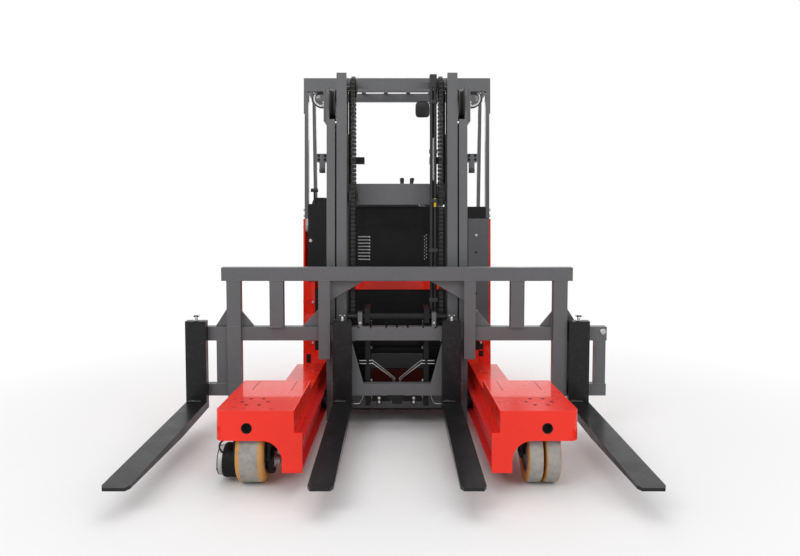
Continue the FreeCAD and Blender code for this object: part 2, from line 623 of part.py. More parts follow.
mast_rear = "mast_front + mast_depth"
front_run = "mast_front - chain_front"
back_run = "mast_front + chain_back"
outer_mast = []
for name, side in SIDES:
    lips = cut("channel", box(flip(side, ("mast_lip", "mast_outer")),
                              ("mast_front", mast_rear), ("mast_foot", "mast_top")),
               [box(flip(side, ("mast_lip - 1", "mast_outer - mast_wall")),
                    ("mast_front + mast_wall", mast_rear + " - mast_wall"),
                    ("mast_foot - 1", "mast_top + 1"))])
    web = box(flip(side, ("mast_outer - mast_wall", "mast_outer")),
              ("mast_front", mast_rear), ("mast_top", "mast_ear_top"))
    ear = box(flip(side, ("mast_outer", "mast_outer + ear_plate")),
              ("mast_front + mast_wall", mast_rear), ("mast_top - 10", "mast_ear_top + 12"))
    clevises = [box(flip(side, ("chain_x - chain_width / 2 - %s" % reach,
                                "chain_x - chain_width / 2 - %s + cheek" % reach)),
                    (back_run, mast_rear), ("tie_low + 30", "tie_low + 80"))
                for reach in ("clevis_gap - cheek", "(-chain_width - clevis_gap)")]
    outer_mast += [lips, web, ear] + clevises
for low, high in (("tie_low", "tie_top"), ("foot_low", "foot_top")):
    outer_mast.append(box(("-(mast_outer - side_plate)", "mast_outer - side_plate"),
                          (mast_rear, mast_rear + " + tie_depth"), (low, high)))
piece(fuse("outer_mast", outer_mast))

sheaves = []
for name, side in SIDES:
    x = flip(side, ("mast_lip", "mast_outer - mast_wall"))
    half = "(mast_outer - mast_wall - mast_lip) / 2"
    sheaves.append(turned("sheave_" + name, [
        ("-" + half, "0"), (half, "0"), (half, "sheave_radius"),
        (half + " - groove / 2", "sheave_radius"), ("0", "sheave_radius - groove"),
        ("-(%s - groove / 2)" % half, "sheave_radius"), ("-" + half, "sheave_radius")],
        "%s + %s" % (x[0], half), "mast_front + mast_depth / 2",
        "mast_top + sheave_radius + 1"))
piece(fuse("mast_sheaves", sheaves))
brackets = []
for name, side in SIDES:
    y = ("mast_front + bracket_in", "mast_front + bracket_in + bracket_depth")
    tab = ("mast_outer + tab_in", "mast_outer + tab_in + tab_wide")
    brackets += [
        box(flip(side, ("mast_outer", "mast_outer + bracket_reach")), y,
            ("bracket_low", "bracket_low + bracket_high")),
        box(flip(side, tab), (y[0], y[0] + " + tab_thick"),
            ("bracket_low - tab_drop", "bracket_low")),
        rod("y", ("%d * (mast_outer + tab_in + tab_wide / 2)" % side,
                  y[0] + " - knob_length", "bracket_low - tab_drop + knob_radius"),
            "knob_radius", "knob_length")]
piece(fuse("mast_brackets", brackets))

plates_y = (mast_rear, mast_rear + " + reach_plate_length")
carriage = [box(flip(side, ("mast_outer - side_plate", "mast_outer")), plates_y,
                ("reach_plate_low", "reach_plate_top")) for name, side in SIDES]
carriage.append(box(("-(mast_outer - side_plate)", "mast_outer - side_plate"),
                    (mast_rear + " + tie_depth", plates_y[1]),
                    ("reach_plate_low", "reach_plate_low + 20")))
carriage.append(box(("-(mast_outer - side_plate)", "mast_outer - side_plate"),
                    (plates_y[1] + " - 20", plates_y[1]),
                    ("reach_plate_low + 20", "reach_plate_top")))
for name, side in SIDES:
    for y in ("mast_front + roller_inset", plates_y[1] + " - roller_inset"):
        x = flip(side, ("mast_outer", "mast_outer + roller_width"))
        carriage.append(rod("x", (x[0], y, "(rail_low + rail_top) / 2"), "roller_radius",
                            "roller_width"))
piece(fuse("reach_carriage", carriage))

lift_y = mast_rear + " + tie_depth + lift_radius + 4"
base = "reach_plate_low + 20"
barrels = [cut("lift_barrel", rod("z", ("%d * lift_x" % side, lift_y, base), "lift_radius",
                                  "lift_barrel_top - (%s)" % base),
               [rod("z", ("%d * lift_x" % side, lift_y, base + " + 20"),
                    "lift_rod + rod_gap", "lift_barrel_top")]) for name, side in SIDES]
piece(fuse("lift_barrels", barrels))

barrel_y = "body_front + plate"
piece(cut("reach_barrel",
          rod("y", ("-reach_x", barrel_y, "reach_height"), "reach_bore",
              "reach_travel + reach_room"),
          [rod("y", ("-reach_x", barrel_y + " - 1", "reach_height"), "reach_rod + rod_gap",
               "reach_travel + reach_room - 20")]))
piece(rod("y", ("-reach_x", plates_y[1], "reach_height"), "reach_rod",
          "body_front + plate + reach_travel + 20 - (%s)" % plates_y[1],
          "reach_piston_rod"))

# ---------------------------------------------------------------- inner mast and lift gear

inner_y = ("mast_front", "mast_front + inner_depth")
head = "inner_top - head_drop"
inner_mast = []
for name, side in SIDES:
    inner_mast.append(cut("inner_channel", box(flip(side, ("inner_lip", "inner_face")), inner_y,
                                               ("inner_foot", "inner_top")),
                          [box(flip(side, ("inner_lip - 1", "inner_face - mast_wall")),
                               (inner_y[0] + " + mast_wall", inner_y[1] + " - mast_wall"),
                               ("inner_foot - 1", "inner_top + 1"))]))
    inner_mast.append(box(flip(side, ("lift_x - 20", "lift_x + 20")),
                          (inner_y[1], lift_y + " + lift_rod"), (head, head + " + 40")))
inner_mast.append(box(("-inner_lip", "inner_lip"), (inner_y[1] + " - mast_wall", inner_y[1]),
                      ("inner_tie_low", "inner_tie_low + inner_tie")))
inner_mast.append(box(("-inner_lip", "inner_lip"), (inner_y[1] + " - mast_wall", inner_y[1]),
                      ("inner_foot + 10", "inner_foot + 90")))
chain_axis = "(%s + %s + chain_depth) / 2" % (front_run, back_run)
for name, side in SIDES:
    x = flip(side, ("chain_x + chain_width / 2", "inner_face - mast_wall"))
    inner_mast.append(rod("x", (x[0], chain_axis, "sheave_height"), "stub_radius",
                          "inner_face - mast_wall - chain_x - chain_width / 2"))
piece(fuse("inner_mast", inner_mast))
piece(fuse("lift_rods", [rod("z", ("%d * lift_x" % side, lift_y, base + " + 20 + lift_drop + 10"),
                             "lift_rod", "(%s) - (%s + 20 + lift_drop + 10)" % (head, base))
                         for name, side in SIDES]))

chain_radius = "(%s + chain_depth - (%s)) / 2" % (back_run, front_run)


def chain_run(middle, y, low, high):
    """A straight run of leaf chain: a narrow core with a wide link at every pitch."""
    run = [box((middle + " - link_core / 2", middle + " + link_core / 2"), y, (low, high))]
    for number in range(int((value(high) - value(low)) / value("link_pitch"))):
        bottom = "%s - %d * link_pitch" % (high, number + 1)
        run.append(box((middle + " - chain_width / 2", middle + " + chain_width / 2"), y,
                       (bottom, bottom + " + link_pitch - link_gap")))
    return run


chains = []
for name, side in SIDES:
    middle = "(%d * chain_x)" % side
    over = rod("x", (middle + " - chain_width / 2", chain_axis, "sheave_height"),
               chain_radius, "chain_width")
    chains.append(fuse("chain", [over]
                       + chain_run(middle, (front_run, front_run + " + chain_depth"),
                                   "chain_low", "sheave_height")
                       + chain_run(middle, (back_run, back_run + " + chain_depth"),
                                   "chain_back_low", "sheave_height")))
piece(fuse("lift_chains", chains))
hose_y = "mast_front + hose_back"
hoses = [rod("z", ("hose_x + %d * hose_pitch" % edge, hose_y, "hose_low"), "hose_radius",
             "sheave_height - hose_low") for edge in (-1, 1)]
hoses.append(box(("hose_x - hose_pitch - hose_radius", "hose_x + hose_pitch + hose_radius"),
                 (hose_y + " - hose_radius", inner_y[1] + " - mast_wall"),
                 ("inner_tie_low", "inner_tie_low + inner_tie + 20")))
hoses.append(box(("hose_x - hose_pitch - hose_radius", "hose_x + hose_pitch + hose_radius"),
                 (hose_y + " - hose_radius", hose_y + " + hose_radius"),
                 ("sheave_height", "inner_tie_low")))
piece(fuse("mast_hoses", hoses))

# ---------------------------------------------------------------- lift carriage

roller_y = "mast_front + mast_wall + carriage_roller + 0.3"
lift_parts = []
tilt_y = "shank_front + tilt_axis_back"
for name, side in SIDES:
    x = flip(side, ("cheek_in", "cheek_in + carriage_cheek"))
    lift_parts.append(box(x, ("mast_front - carriage_nose", "mast_front + 118"),
                          ("carriage_low", "(bar_top + carriage_rise)")))
    lift_parts.append(box(x, (tilt_y + " - 28", "mast_front - carriage_nose"),
                          ("(bar_top + tilt_axis_rise) - 32", "(bar_top + carriage_rise)")))
    for z in ("carriage_low + roller_rise", "(bar_top + carriage_rise) - roller_drop"):
        near = "cheek_in + carriage_cheek"
        for a, b, radius in ((near, "inner_lip + 4", "20"),
                             ("inner_lip + 4", "inner_face - mast_wall - 4",
                              "carriage_roller")):
            x = flip(side, (a, b))
            lift_parts.append(rod("x", (x[0], roller_y, z), radius,
                                  "%s - (%s)" % (x[1], x[0])))
    for a, b in (("chain_x - chain_width / 2 - clevis_gap - cheek",
                  "chain_x - chain_width / 2 - clevis_gap"),):
        lift_parts.append(box(flip(side, ("cheek_in + carriage_cheek", b)),
                              (front_run, front_run + " + chain_depth"),
                              ("(bar_top + carriage_rise) - 80", "(bar_top + carriage_rise) - 20")))
for low, high in (("carriage_low", "carriage_low + 90"), ("(bar_top + carriage_rise) - 150",
                                                            "(bar_top + carriage_rise) - 70")):
    lift_parts.append(box(("-cheek_in", "cheek_in"), ("mast_front + 80", "mast_front + 100"),
                          (low, high)))
lift_parts.append(rod("x", ("-tilt_tube_half", tilt_y, "(bar_top + tilt_axis_rise)"), "tilt_tube",
                      "2 * tilt_tube_half"))
piece(fuse("lift_carriage", lift_parts))
eye_y = ("%s + (tilt_eye_back - tilt_axis_back) * cos(tilt_rest)"
         " - (tilt_height - (bar_top + tilt_axis_rise)) * sin(tilt_rest)" % tilt_y)
eye_z = ("(bar_top + tilt_axis_rise) + (tilt_eye_back - tilt_axis_back) * sin(tilt_rest)"
         " + (tilt_height - (bar_top + tilt_axis_rise)) * cos(tilt_rest)")
piece(cut("tilt_barrel", rod("y", ("0", "shank_front + tilt_barrel_front", eye_z),
                             "tilt_barrel_radius",
                             "mast_front + 80 - (shank_front + tilt_barrel_front)"),
          [rod("y", ("0", "shank_front + tilt_barrel_front - 1", eye_z),
               "tilt_rod + rod_gap", "tilt_stroke + 40")]))
eye = cut("tilt_eye", rod("x", ("-eye_width / 2", eye_y, eye_z), "tilt_eye", "eye_width"),
          [rod("x", ("-eye_width", eye_y, eye_z), "eye_pin + axle_gap", "2 * eye_width"),
           rod("x", ("-eye_width", eye_y, eye_z + " + eye_slot"), "eye_pin + axle_gap",
               "2 * eye_width"),
           box(("-eye_width", "eye_width"),
               (eye_y + " - eye_pin - axle_gap", eye_y + " + eye_pin + axle_gap"),
               (eye_z, eye_z + " + eye_slot"))])
piece(fuse("tilt_rod", [
    rod("y", ("0", eye_y + " + tilt_eye - 4", eye_z), "tilt_rod",
        "shank_front + tilt_barrel_front + tilt_stroke + 25 - (%s + tilt_eye - 4)" % eye_y),
    eye]))

# ---------------------------------------------------------------- fork carriage

# The whole carriage droops by tilt_rest about the tilt tube.  It is drawn upright.

def drooped(item):
    """Turns a finished piece about the tilt tube's axis, tips down."""
    y = bound(tilt_y)
    z = bound("(bar_top + tilt_axis_rise)")
    turn = bound("tilt_rest")
    item.Placement = FreeCAD.Placement(FreeCAD.Vector(),
                                       FreeCAD.Rotation(FreeCAD.Vector(1, 0, 0), 1))
    item.setExpression("Placement.Rotation.Angle", turn)
    item.setExpression("Placement.Base.y", "%s - (%s) * cos(%s) + %s * sin(%s)"
                       % (y, y, turn, z, turn))
    item.setExpression("Placement.Base.z", "%s - (%s) * sin(%s) - %s * cos(%s)"
                       % (z, y, turn, z, turn))
    return piece(item)


bar_y = ("shank_front + shank_depth", "shank_front + shank_depth + bar_depth")
upper = box(("-bar_half", "bar_half"), bar_y, ("bar_low", "bar_top"))
places = ["0"] + ["%s%s" % (sign, notch) for sign in ("", "-")
                  for notch in ("notch_first", "notch_second", "notch_third")]
notches = [box((place + " - notch_wide / 2", place + " + notch_wide / 2"),
               (bar_y[0] + " - 1", bar_y[1] + " + 1"), ("bar_top - notch_depth", "bar_top + 1"))
           for place in places]
bars = [cut("hook_bar", upper, notches),
        box(("-inner_post", "inner_post"), bar_y, ("sill_bar_low", "sill_bar_top"))]
for name, side in SIDES:
    bars.append(box(flip(side, ("(bar_half - outer_post_in)", "bar_half")), bar_y,
                    ("sill_bar_low", "sill_bar_top")))
    for start, wide in (("end_post_in", "end_post_wide"), ("far_post_in", "far_post_wide")):
        bars.append(box(flip(side, ("bar_half - " + start, "bar_half - %s + %s" % (start, wide))), bar_y,
                        ("sill_bar_top", "bar_low")))
    sign = "-" if side < 0 else ""
    bars.append(plate("side_plate_" + name, "y",
                      [(sign + "taper_top", "bar_low"), (sign + "taper_out", "bar_low"),
                       (sign + "taper_out", "sill_bar_top"), (sign + "taper_foot",
                                                              "sill_bar_top")],
                      bar_y[0], bar_y[0] + " + taper_depth"))
    lug = box(flip(side, ("lug_in", "lug_in + lug_wide")), bar_y,
              ("bar_top", "(bar_top + tilt_axis_rise) + lug_radius"))
    bars.append(cut("lug", lug, [rod("x", ("-bar_half", tilt_y, "(bar_top + tilt_axis_rise)"),
                                     "tilt_tube + axle_gap", "2 * bar_half")]))
    bars.append(box(flip(side, ("eye_lug", "eye_lug + plate")), bar_y,
                    ("tilt_height - tilt_eye", "sill_bar_low")))
bars.append(rod("x", ("-(eye_lug + plate)", "shank_front + tilt_eye_back", "tilt_height"),
                "eye_pin", "2 * (eye_lug + plate)"))
drooped(fuse("fork_bars", bars))

rest_y = (bar_y[0] + " - rest_proud", bar_y[0] + " - rest_proud + rest_depth")
rest = [box(("-(bar_half - rest_in)", "bar_half - rest_in"), rest_y, ("rest_low", "rest_top"))]
for name, side in SIDES:
    sign = "-" if side < 0 else ""
    for start, wide, low in (("(bar_half - outer_post_in)", "outer_post_wide", "sill_bar_low"),
                             ("(bar_half - middle_post_in)", "middle_post_wide", "bar_top"),
                             ("inner_post", "inner_post_wide", "inner_post_low")):
        rest.append(box(flip(side, (start, "%s + %s" % (start, wide))), rest_y,
                        (low, "rest_low")))
    for outline_points in (
            [("inner_post", "rest_low"), ("inner_post", "rest_low - gusset_drop_big"),
             ("inner_post - gusset_run_big", "rest_low")],
            [("inner_post + inner_post_wide", "bar_top"),
             ("inner_post + inner_post_wide + 98", "bar_top"),
             ("inner_post + inner_post_wide", "bar_top + 105")],
            [("(bar_half - outer_post_in)", "bar_top"), ("(bar_half - outer_post_in) - 72", "bar_top"),
             ("(bar_half - outer_post_in)", "bar_top + 88")],
            [("(bar_half - outer_post_in) + outer_post_wide", "bar_top"),
             ("(bar_half - outer_post_in) + outer_post_wide + 76", "bar_top"),
             ("(bar_half - outer_post_in) + outer_post_wide", "bar_top + 118")]):
        rest.append(plate("gusset", "y", [(sign + "(%s)" % x, z) for x, z in outline_points],
                          rest_y[1] + " - gusset_thick", rest_y[1]))
seats = [box(("-bar_half", "bar_half"), bar_y, ("bar_low", "bar_top"))]
seats += [box(flip(side, ("(bar_half - outer_post_in) - 1", "bar_half")), bar_y,
              ("sill_bar_low", "sill_bar_top")) for name, side in SIDES]
drooped(cut("load_backrest", fuse("rest_weld", rest), seats))


def fork(name, low, high):
    """An L-shaped fork with a tapered blade, bevelled tip corners and a hook over the bar."""
    tip = "shank_front - fork_length"
    side_view = plate("fork_side", "x", [
        ("shank_front", "fork_heel"), (tip, "fork_heel"), (tip, "fork_heel - fork_tip"),
        ("shank_front - fork_taper", "fork_heel - fork_thick"),
        (bar_y[0], "fork_heel - fork_thick"), (bar_y[0], "(bar_top + fork_rise)"),
        ("shank_front", "(bar_top + fork_rise)")], low, high)
    plan = plate("fork_plan", "z", [
        (low, bar_y[0]), (low, tip + " + fork_chamfer"),
        ("%s + fork_chamfer / 2" % low, tip), ("%s - fork_chamfer / 2" % high, tip),
        (high, tip + " + fork_chamfer"), (high, bar_y[0])], "0", "(bar_top + fork_rise)")
    blade = truck.addObject("Part::MultiCommon", "Common")
    blade.Shapes = [side_view, plan]
    middle = "(%s + %s) / 2" % (low, high)
    hook = box((low + " + 10", high + " - 10"), (bar_y[0], bar_y[0] + " + hook_depth"),
               ("bar_top", "bar_top + hook_height"))
    pin = rod("z", (middle, "shank_front + shank_depth / 2", "(bar_top + fork_rise)"), "7", "22")
    bar = box((middle + " - 12", middle + " + 12"),
              ("shank_front + shank_depth / 2 - 6", "shank_front + shank_depth / 2 + 6"),
              ("(bar_top + fork_rise) + 22", "(bar_top + fork_rise) + 32"))
    drooped(fuse(name, [blade, hook, pin, bar]))


fork("fork_outer_left", "(left_fork_in - bar_half)",
     "(left_fork_in - bar_half + outer_fork_wide)")
fork("fork_inner_left", "(-inner_fork_in - inner_fork_wide)", "(-inner_fork_in)")
fork("fork_inner_right", "inner_fork_in", "(inner_fork_in + inner_fork_wide)")
fork("fork_outer_right", "(bar_half - right_fork_in - outer_fork_wide)",
     "(bar_half - right_fork_in)")

# ---------------------------------------------------------------- checks and export

truck.recompute()
for item in truck.Objects:
    if "Invalid" in item.State or "Error" in item.State:
        raise RuntimeError("%s failed: %s" % (item.Label, item.State))
os.makedirs("parts", exist_ok=True)
for item in nodes:
    if item.Shape.isNull() or not item.Shape.isValid():
        raise RuntimeError("%s has no valid shape" % item.Label)
    item.Shape.exportStep("parts/%s.step" % item.Label)
print("%d sub-parts written" % len(nodes))
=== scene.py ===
import math
import random

import bmesh
import bpy
from mathutils import Matrix, Vector


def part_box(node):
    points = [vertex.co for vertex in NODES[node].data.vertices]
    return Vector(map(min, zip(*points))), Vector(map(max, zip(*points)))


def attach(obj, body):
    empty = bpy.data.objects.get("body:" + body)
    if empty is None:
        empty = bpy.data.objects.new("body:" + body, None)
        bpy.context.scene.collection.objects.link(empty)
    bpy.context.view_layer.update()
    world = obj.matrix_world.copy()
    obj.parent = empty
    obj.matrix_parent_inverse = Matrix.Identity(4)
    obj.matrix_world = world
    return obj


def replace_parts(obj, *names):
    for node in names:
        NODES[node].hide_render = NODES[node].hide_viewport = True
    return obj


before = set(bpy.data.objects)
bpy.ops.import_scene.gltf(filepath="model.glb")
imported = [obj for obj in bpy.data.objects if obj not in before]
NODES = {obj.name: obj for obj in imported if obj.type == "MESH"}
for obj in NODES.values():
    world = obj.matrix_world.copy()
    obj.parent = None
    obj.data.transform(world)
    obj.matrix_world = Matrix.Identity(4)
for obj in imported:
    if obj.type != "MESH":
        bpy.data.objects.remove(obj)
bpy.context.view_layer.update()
random.seed(7)
MM = 0.001
SIDES = (-1, 1)
SIDE_NAMES = {-1: "left", 1: "right"}
RIGHT, AFT, FORE, UP, DOWN = (1, 0, 0), (0, 1, 0), (0, -1, 0), (0, 0, 1), (0, 0, -1)


# ---------------------------------------------------------------- materials

class Tree:
    """Short calls for one node tree."""

    def __init__(self, tree):
        self.tree = tree

    def feed(self, socket, value):
        """Links an output to a socket, or sets the socket's value."""
        if isinstance(value, bpy.types.NodeSocket):
            self.tree.links.new(value, socket)
        else:
            socket.default_value = value

    def add(self, kind, inputs=None, **attributes):
        """A new node with its attributes set and its inputs set or linked."""
        node = self.tree.nodes.new(kind)
        for name, value in attributes.items():
            setattr(node, name, value)
        for name, value in (inputs or {}).items():
            self.feed(node.inputs[name], value)
        return node

    def combine(self, operation, first, second):
        return self.add("ShaderNodeMath", {0: first, 1: second}, operation=operation).outputs[0]


class Nodes(Tree):
    """A new material's node tree, around its Principled shader."""

    def __init__(self, name):
        self.material = bpy.data.materials.new(name)
        self.material.use_nodes = True
        super().__init__(self.material.node_tree)
        self.shader = self.tree.nodes["Principled BSDF"]
        self.place = self.add("ShaderNodeTexCoord").outputs["Object"]

    def put(self, values):
        for socket, value in values.items():
            self.feed(self.shader.inputs[socket], value)

    def noise(self, scale, detail=3.0, rough=0.5, stretch=None):
        place = self.place
        if stretch:
            mapping = self.add("ShaderNodeMapping", {"Scale": stretch, "Vector": place})
            place = mapping.outputs["Vector"]
        return self.add("ShaderNodeTexNoise", {"Scale": scale, "Detail": detail, "Roughness": rough,
                                               "Vector": place}).outputs["Fac"]

    def cells(self, scale):
        return self.add("ShaderNodeTexVoronoi", {"Scale": scale,
                                                 "Vector": self.place}).outputs["Distance"]

    def ramp(self, factor, *stops):
        """Greys between two (position, grey) stops."""
        node = self.add("ShaderNodeValToRGB", {"Fac": factor})
        for element, (position, grey) in zip(node.color_ramp.elements, stops):
            element.position = position
            element.color = (grey, grey, grey, 1.0)
        return node.outputs["Color"]

    def uneven(self, factor, rough, smoother, rougher, end=0.7):
        """Roughness that varies between two shares of its usual value."""
        return self.ramp(factor, (0.3, rough * smoother), (end, min(1.0, rough * rougher)))

    def mix(self, factor, first, second):
        colours = [colour if isinstance(colour, bpy.types.NodeSocket) else (*colour, 1.0)
                   for colour in (first, second)]
        return self.add("ShaderNodeMix", {"Factor": factor, "A": colours[0], "B": colours[1]},
                        data_type="RGBA").outputs["Result"]

    def bump(self, height, strength, distance):
        node = self.add("ShaderNodeBump", {"Strength": strength, "Distance": distance,
                                           "Height": height})
        self.put({"Normal": node.outputs["Normal"]})


def shade(colour, factor, lift=0.0):
    return tuple(min(1.0, c * factor + lift) for c in colour)


def paint(name, colour, worn, rough, coat=0.0, peel=0.25, flecks=0.35, metallic=0.0, shine=0.3):
    """Sprayed paint: slow colour drift, orange peel, and dust or rubbed specks."""
    n = Nodes(name)
    base = n.mix(n.noise(3.0, 4.0), shade(colour, 0.86), shade(colour, 1.1, 0.004))
    dust = n.ramp(n.noise(38.0, 5.0, 0.65), (0.52, 0.0), (0.8, flecks))
    n.put({"Base Color": n.mix(dust, base, worn),
           "Roughness": n.uneven(n.noise(9.0, 5.0, 0.6), rough, 0.8, 1.3, 0.75),
           "Metallic": metallic, "Specular IOR Level": shine,
           "Coat Weight": coat, "Coat Roughness": 0.04})
    n.bump(n.noise(420.0, 2.0), peel, 0.0004)
    return n.material


def steel(name, colour, rough, brushed=0.3, metallic=1.0):
    """Bare or plated steel with fine drawn lines and stains."""
    n = Nodes(name)
    lines = n.noise(60.0, 4.0, 0.6, stretch=(1.0, 1.0, 14.0))
    n.put({"Base Color": n.mix(n.noise(14.0, 4.0), shade(colour, 0.72), colour),
           "Metallic": metallic, "Roughness": n.uneven(lines, rough, 0.75, 1.35)})
    n.bump(lines, brushed, 0.0003)
    return n.material


def plastic(name, colour, rough, grain=300.0, depth=0.3):
    """Moulded plastic or rubber with a fine leather-like grain."""
    n = Nodes(name)
    n.put({"Base Color": n.mix(n.noise(12.0, 3.0), shade(colour, 0.8), shade(colour, 1.2)),
           "Roughness": n.uneven(n.noise(25.0, 4.0), rough, 0.85, 1.15)})
    n.bump(n.cells(grain), depth, 0.0003)
    return n.material


def rubber_tread(name, colour, grime, soft, rough):
    """Polyurethane tread, stained where it has picked up dirt."""
    n = Nodes(name)
    stain = n.noise(26.0, 6.0, 0.65)
    n.put({"Base Color": n.mix(n.ramp(stain, (0.4, 0.0), (0.75, 0.55)), colour, grime),
           "Roughness": n.uneven(stain, rough, 0.8, 1.3, 0.8), "Subsurface Weight": soft})
    n.bump(n.noise(90.0, 5.0, 0.7), 0.5, 0.0012)
    return n.material


def glass(name, colour, rough):
    """A dark or coloured lens with smears on it."""
    n = Nodes(name)
    smear = n.noise(8.0, 4.0)
    n.put({"Base Color": n.mix(smear, shade(colour, 0.92), colour),
           "Roughness": n.uneven(smear, rough, 1.0, 2.0, 0.8), "Coat Weight": 0.6})
    n.bump(n.noise(60.0, 2.0), 0.05, 0.0005)
    return n.material


# Each row holds the arguments of its maker after the name.
MATERIALS = {
    paint: {
        "red_paint": ((0.95, 0.022, 0.006), (0.66, 0.03, 0.015), 0.3, 0.55, 0.1, 0.08, 0.0, 0.1),
        # shade_red is the red paint darkened as painted shade
        "shade_red": ((0.13, 0.012, 0.012), (0.05, 0.02, 0.02), 0.45, 0.0, 0.2, 0.4),
        "rail_paint": ((0.66, 0.02, 0.02), (0.13, 0.1, 0.09), 0.4, 0.1, 0.3, 0.45),
        "grey_paint": ((0.121, 0.124, 0.131), (0.16, 0.16, 0.165), 0.4, 0.12, 0.5, 0.4),
        "black_paint": ((0.0055, 0.0055, 0.0065), (0.022, 0.022, 0.024), 0.44, 0.05, 0.5, 0.35,
                        0.0, 0.2),
        "fork_steel": ((0.009, 0.009, 0.0105), (0.07, 0.068, 0.066), 0.34, 0.1, 0.4, 0.28, 0.3),
    },
    steel: {
        "chrome_rod": ((0.72, 0.73, 0.75), 0.14, 0.05),
        "bolt_zinc": ((0.56, 0.56, 0.55), 0.32, 0.2),
        "chain_steel": ((0.034, 0.033, 0.032), 0.4, 0.3, 0.6),
        "wheel_iron": ((0.30, 0.29, 0.27), 0.45, 0.3, 0.6),
        "wheel_alloy": ((0.5, 0.5, 0.49), 0.5, 0.2, 0.7),
        "weld_bead": ((0.16, 0.16, 0.165), 0.5, 0.5, 0.35),
        # lamp_reflector also gives the dash louvre lips their painted highlight
        "lamp_reflector": ((0.75, 0.75, 0.75), 0.3, 0.05, 0.6),
        "mirror_glass": ((0.8, 0.82, 0.84), 0.04, 0.02),
    },
    plastic: {
        "hose_rubber": ((0.012, 0.012, 0.013), 0.55, 500.0, 0.25),
        "floor_rubber": ((0.014, 0.014, 0.015), 0.75, 220.0, 0.5),
        "pad_vinyl": ((0.013, 0.013, 0.014), 0.5, 260.0, 0.6),
        "control_plastic": ((0.02, 0.02, 0.022), 0.42, 420.0, 0.35),
        "lamp_body": ((0.03, 0.03, 0.032), 0.45, 380.0, 0.25),
        "mirror_shell": ((0.016, 0.016, 0.017), 0.4, 380.0, 0.25),
        "hazard_red": ((0.7, 0.03, 0.025), 0.3, 300.0, 0.1),
        "stop_yellow": ((0.75, 0.5, 0.03), 0.35, 300.0, 0.1),
        "pale_plastic": ((0.62, 0.62, 0.6), 0.4, 300.0, 0.15),
        # dark_gap is near-black: seam lines, and painted shade inside holes, slots, eyes, vents and
        # throats
        "dark_gap": ((0.004, 0.004, 0.004), 0.9, 200.0, 0.1),
    },
    rubber_tread: {
        "drive_tread": ((0.62, 0.29, 0.055), (0.28, 0.22, 0.15), 0.05, 0.5),
        "load_tread": ((0.6, 0.27, 0.05), (0.26, 0.2, 0.14), 0.05, 0.5),
        "worn_band": ((0.36, 0.34, 0.31), (0.15, 0.14, 0.13), 0.02, 0.7),
    },
    glass: {
        "lamp_lens": ((0.1, 0.1, 0.105), 0.16),
        "screen_glass": ((0.012, 0.016, 0.02), 0.08),
        "lamp_red": ((0.5, 0.01, 0.01), 0.12),
        "lamp_amber": ((0.8, 0.28, 0.02), 0.12),
    },
}
LOOKS = {name: make(name, *values) for make, rows in MATERIALS.items()
         for name, values in rows.items()}

for node in NODES.values():
    for index, used in enumerate(node.data.materials):
        name = used.name.split(".")[0]
        if name in LOOKS:
            node.material_slots[index].link = "OBJECT"
            node.material_slots[index].material = LOOKS[name]


# ------------------------------------------------------------------- shapes

def smooth_by_angle(data, degrees=32.0):
    """Smooth faces, with edges sharper than the angle kept crisp."""
    for face in data.polygons:
        face.use_smooth = True
    bm = bmesh.new()
    bm.from_mesh(data)
    for edge in bm.edges:
        if len(edge.link_faces) == 2:
            edge.smooth = edge.calc_face_angle(0.0) < math.radians(degrees)
    bm.to_mesh(data)
    bm.free()


def frame_of(direction):
    """Two unit vectors square to a direction."""
    direction = direction.normalized()
    helper = Vector(UP) if abs(direction.z) < 0.9 else Vector(RIGHT)
    first = direction.cross(helper).normalized()
    return first, direction.cross(first).normalized()


def angles(count):
    return [2 * math.pi * k / count for k in range(count)]


def circle(count, radius, first=0.0):
    """Points round a circle as (across, up) pairs; first is in degrees."""
    return [(radius * math.cos(t), radius * math.sin(t))
            for t in (math.radians(first + 360.0 * k / count) for k in range(count))]


def ring_points(centre, u, v, radius, count):
    """Points round a circle in the plane of two unit vectors."""
    return [centre + (u * math.cos(t) + v * math.sin(t)) * radius for t in angles(count)]


def flip(side, low, high):
    """A span taken to one side of the middle, in rising order."""
    return sorted((side * low, side * high))


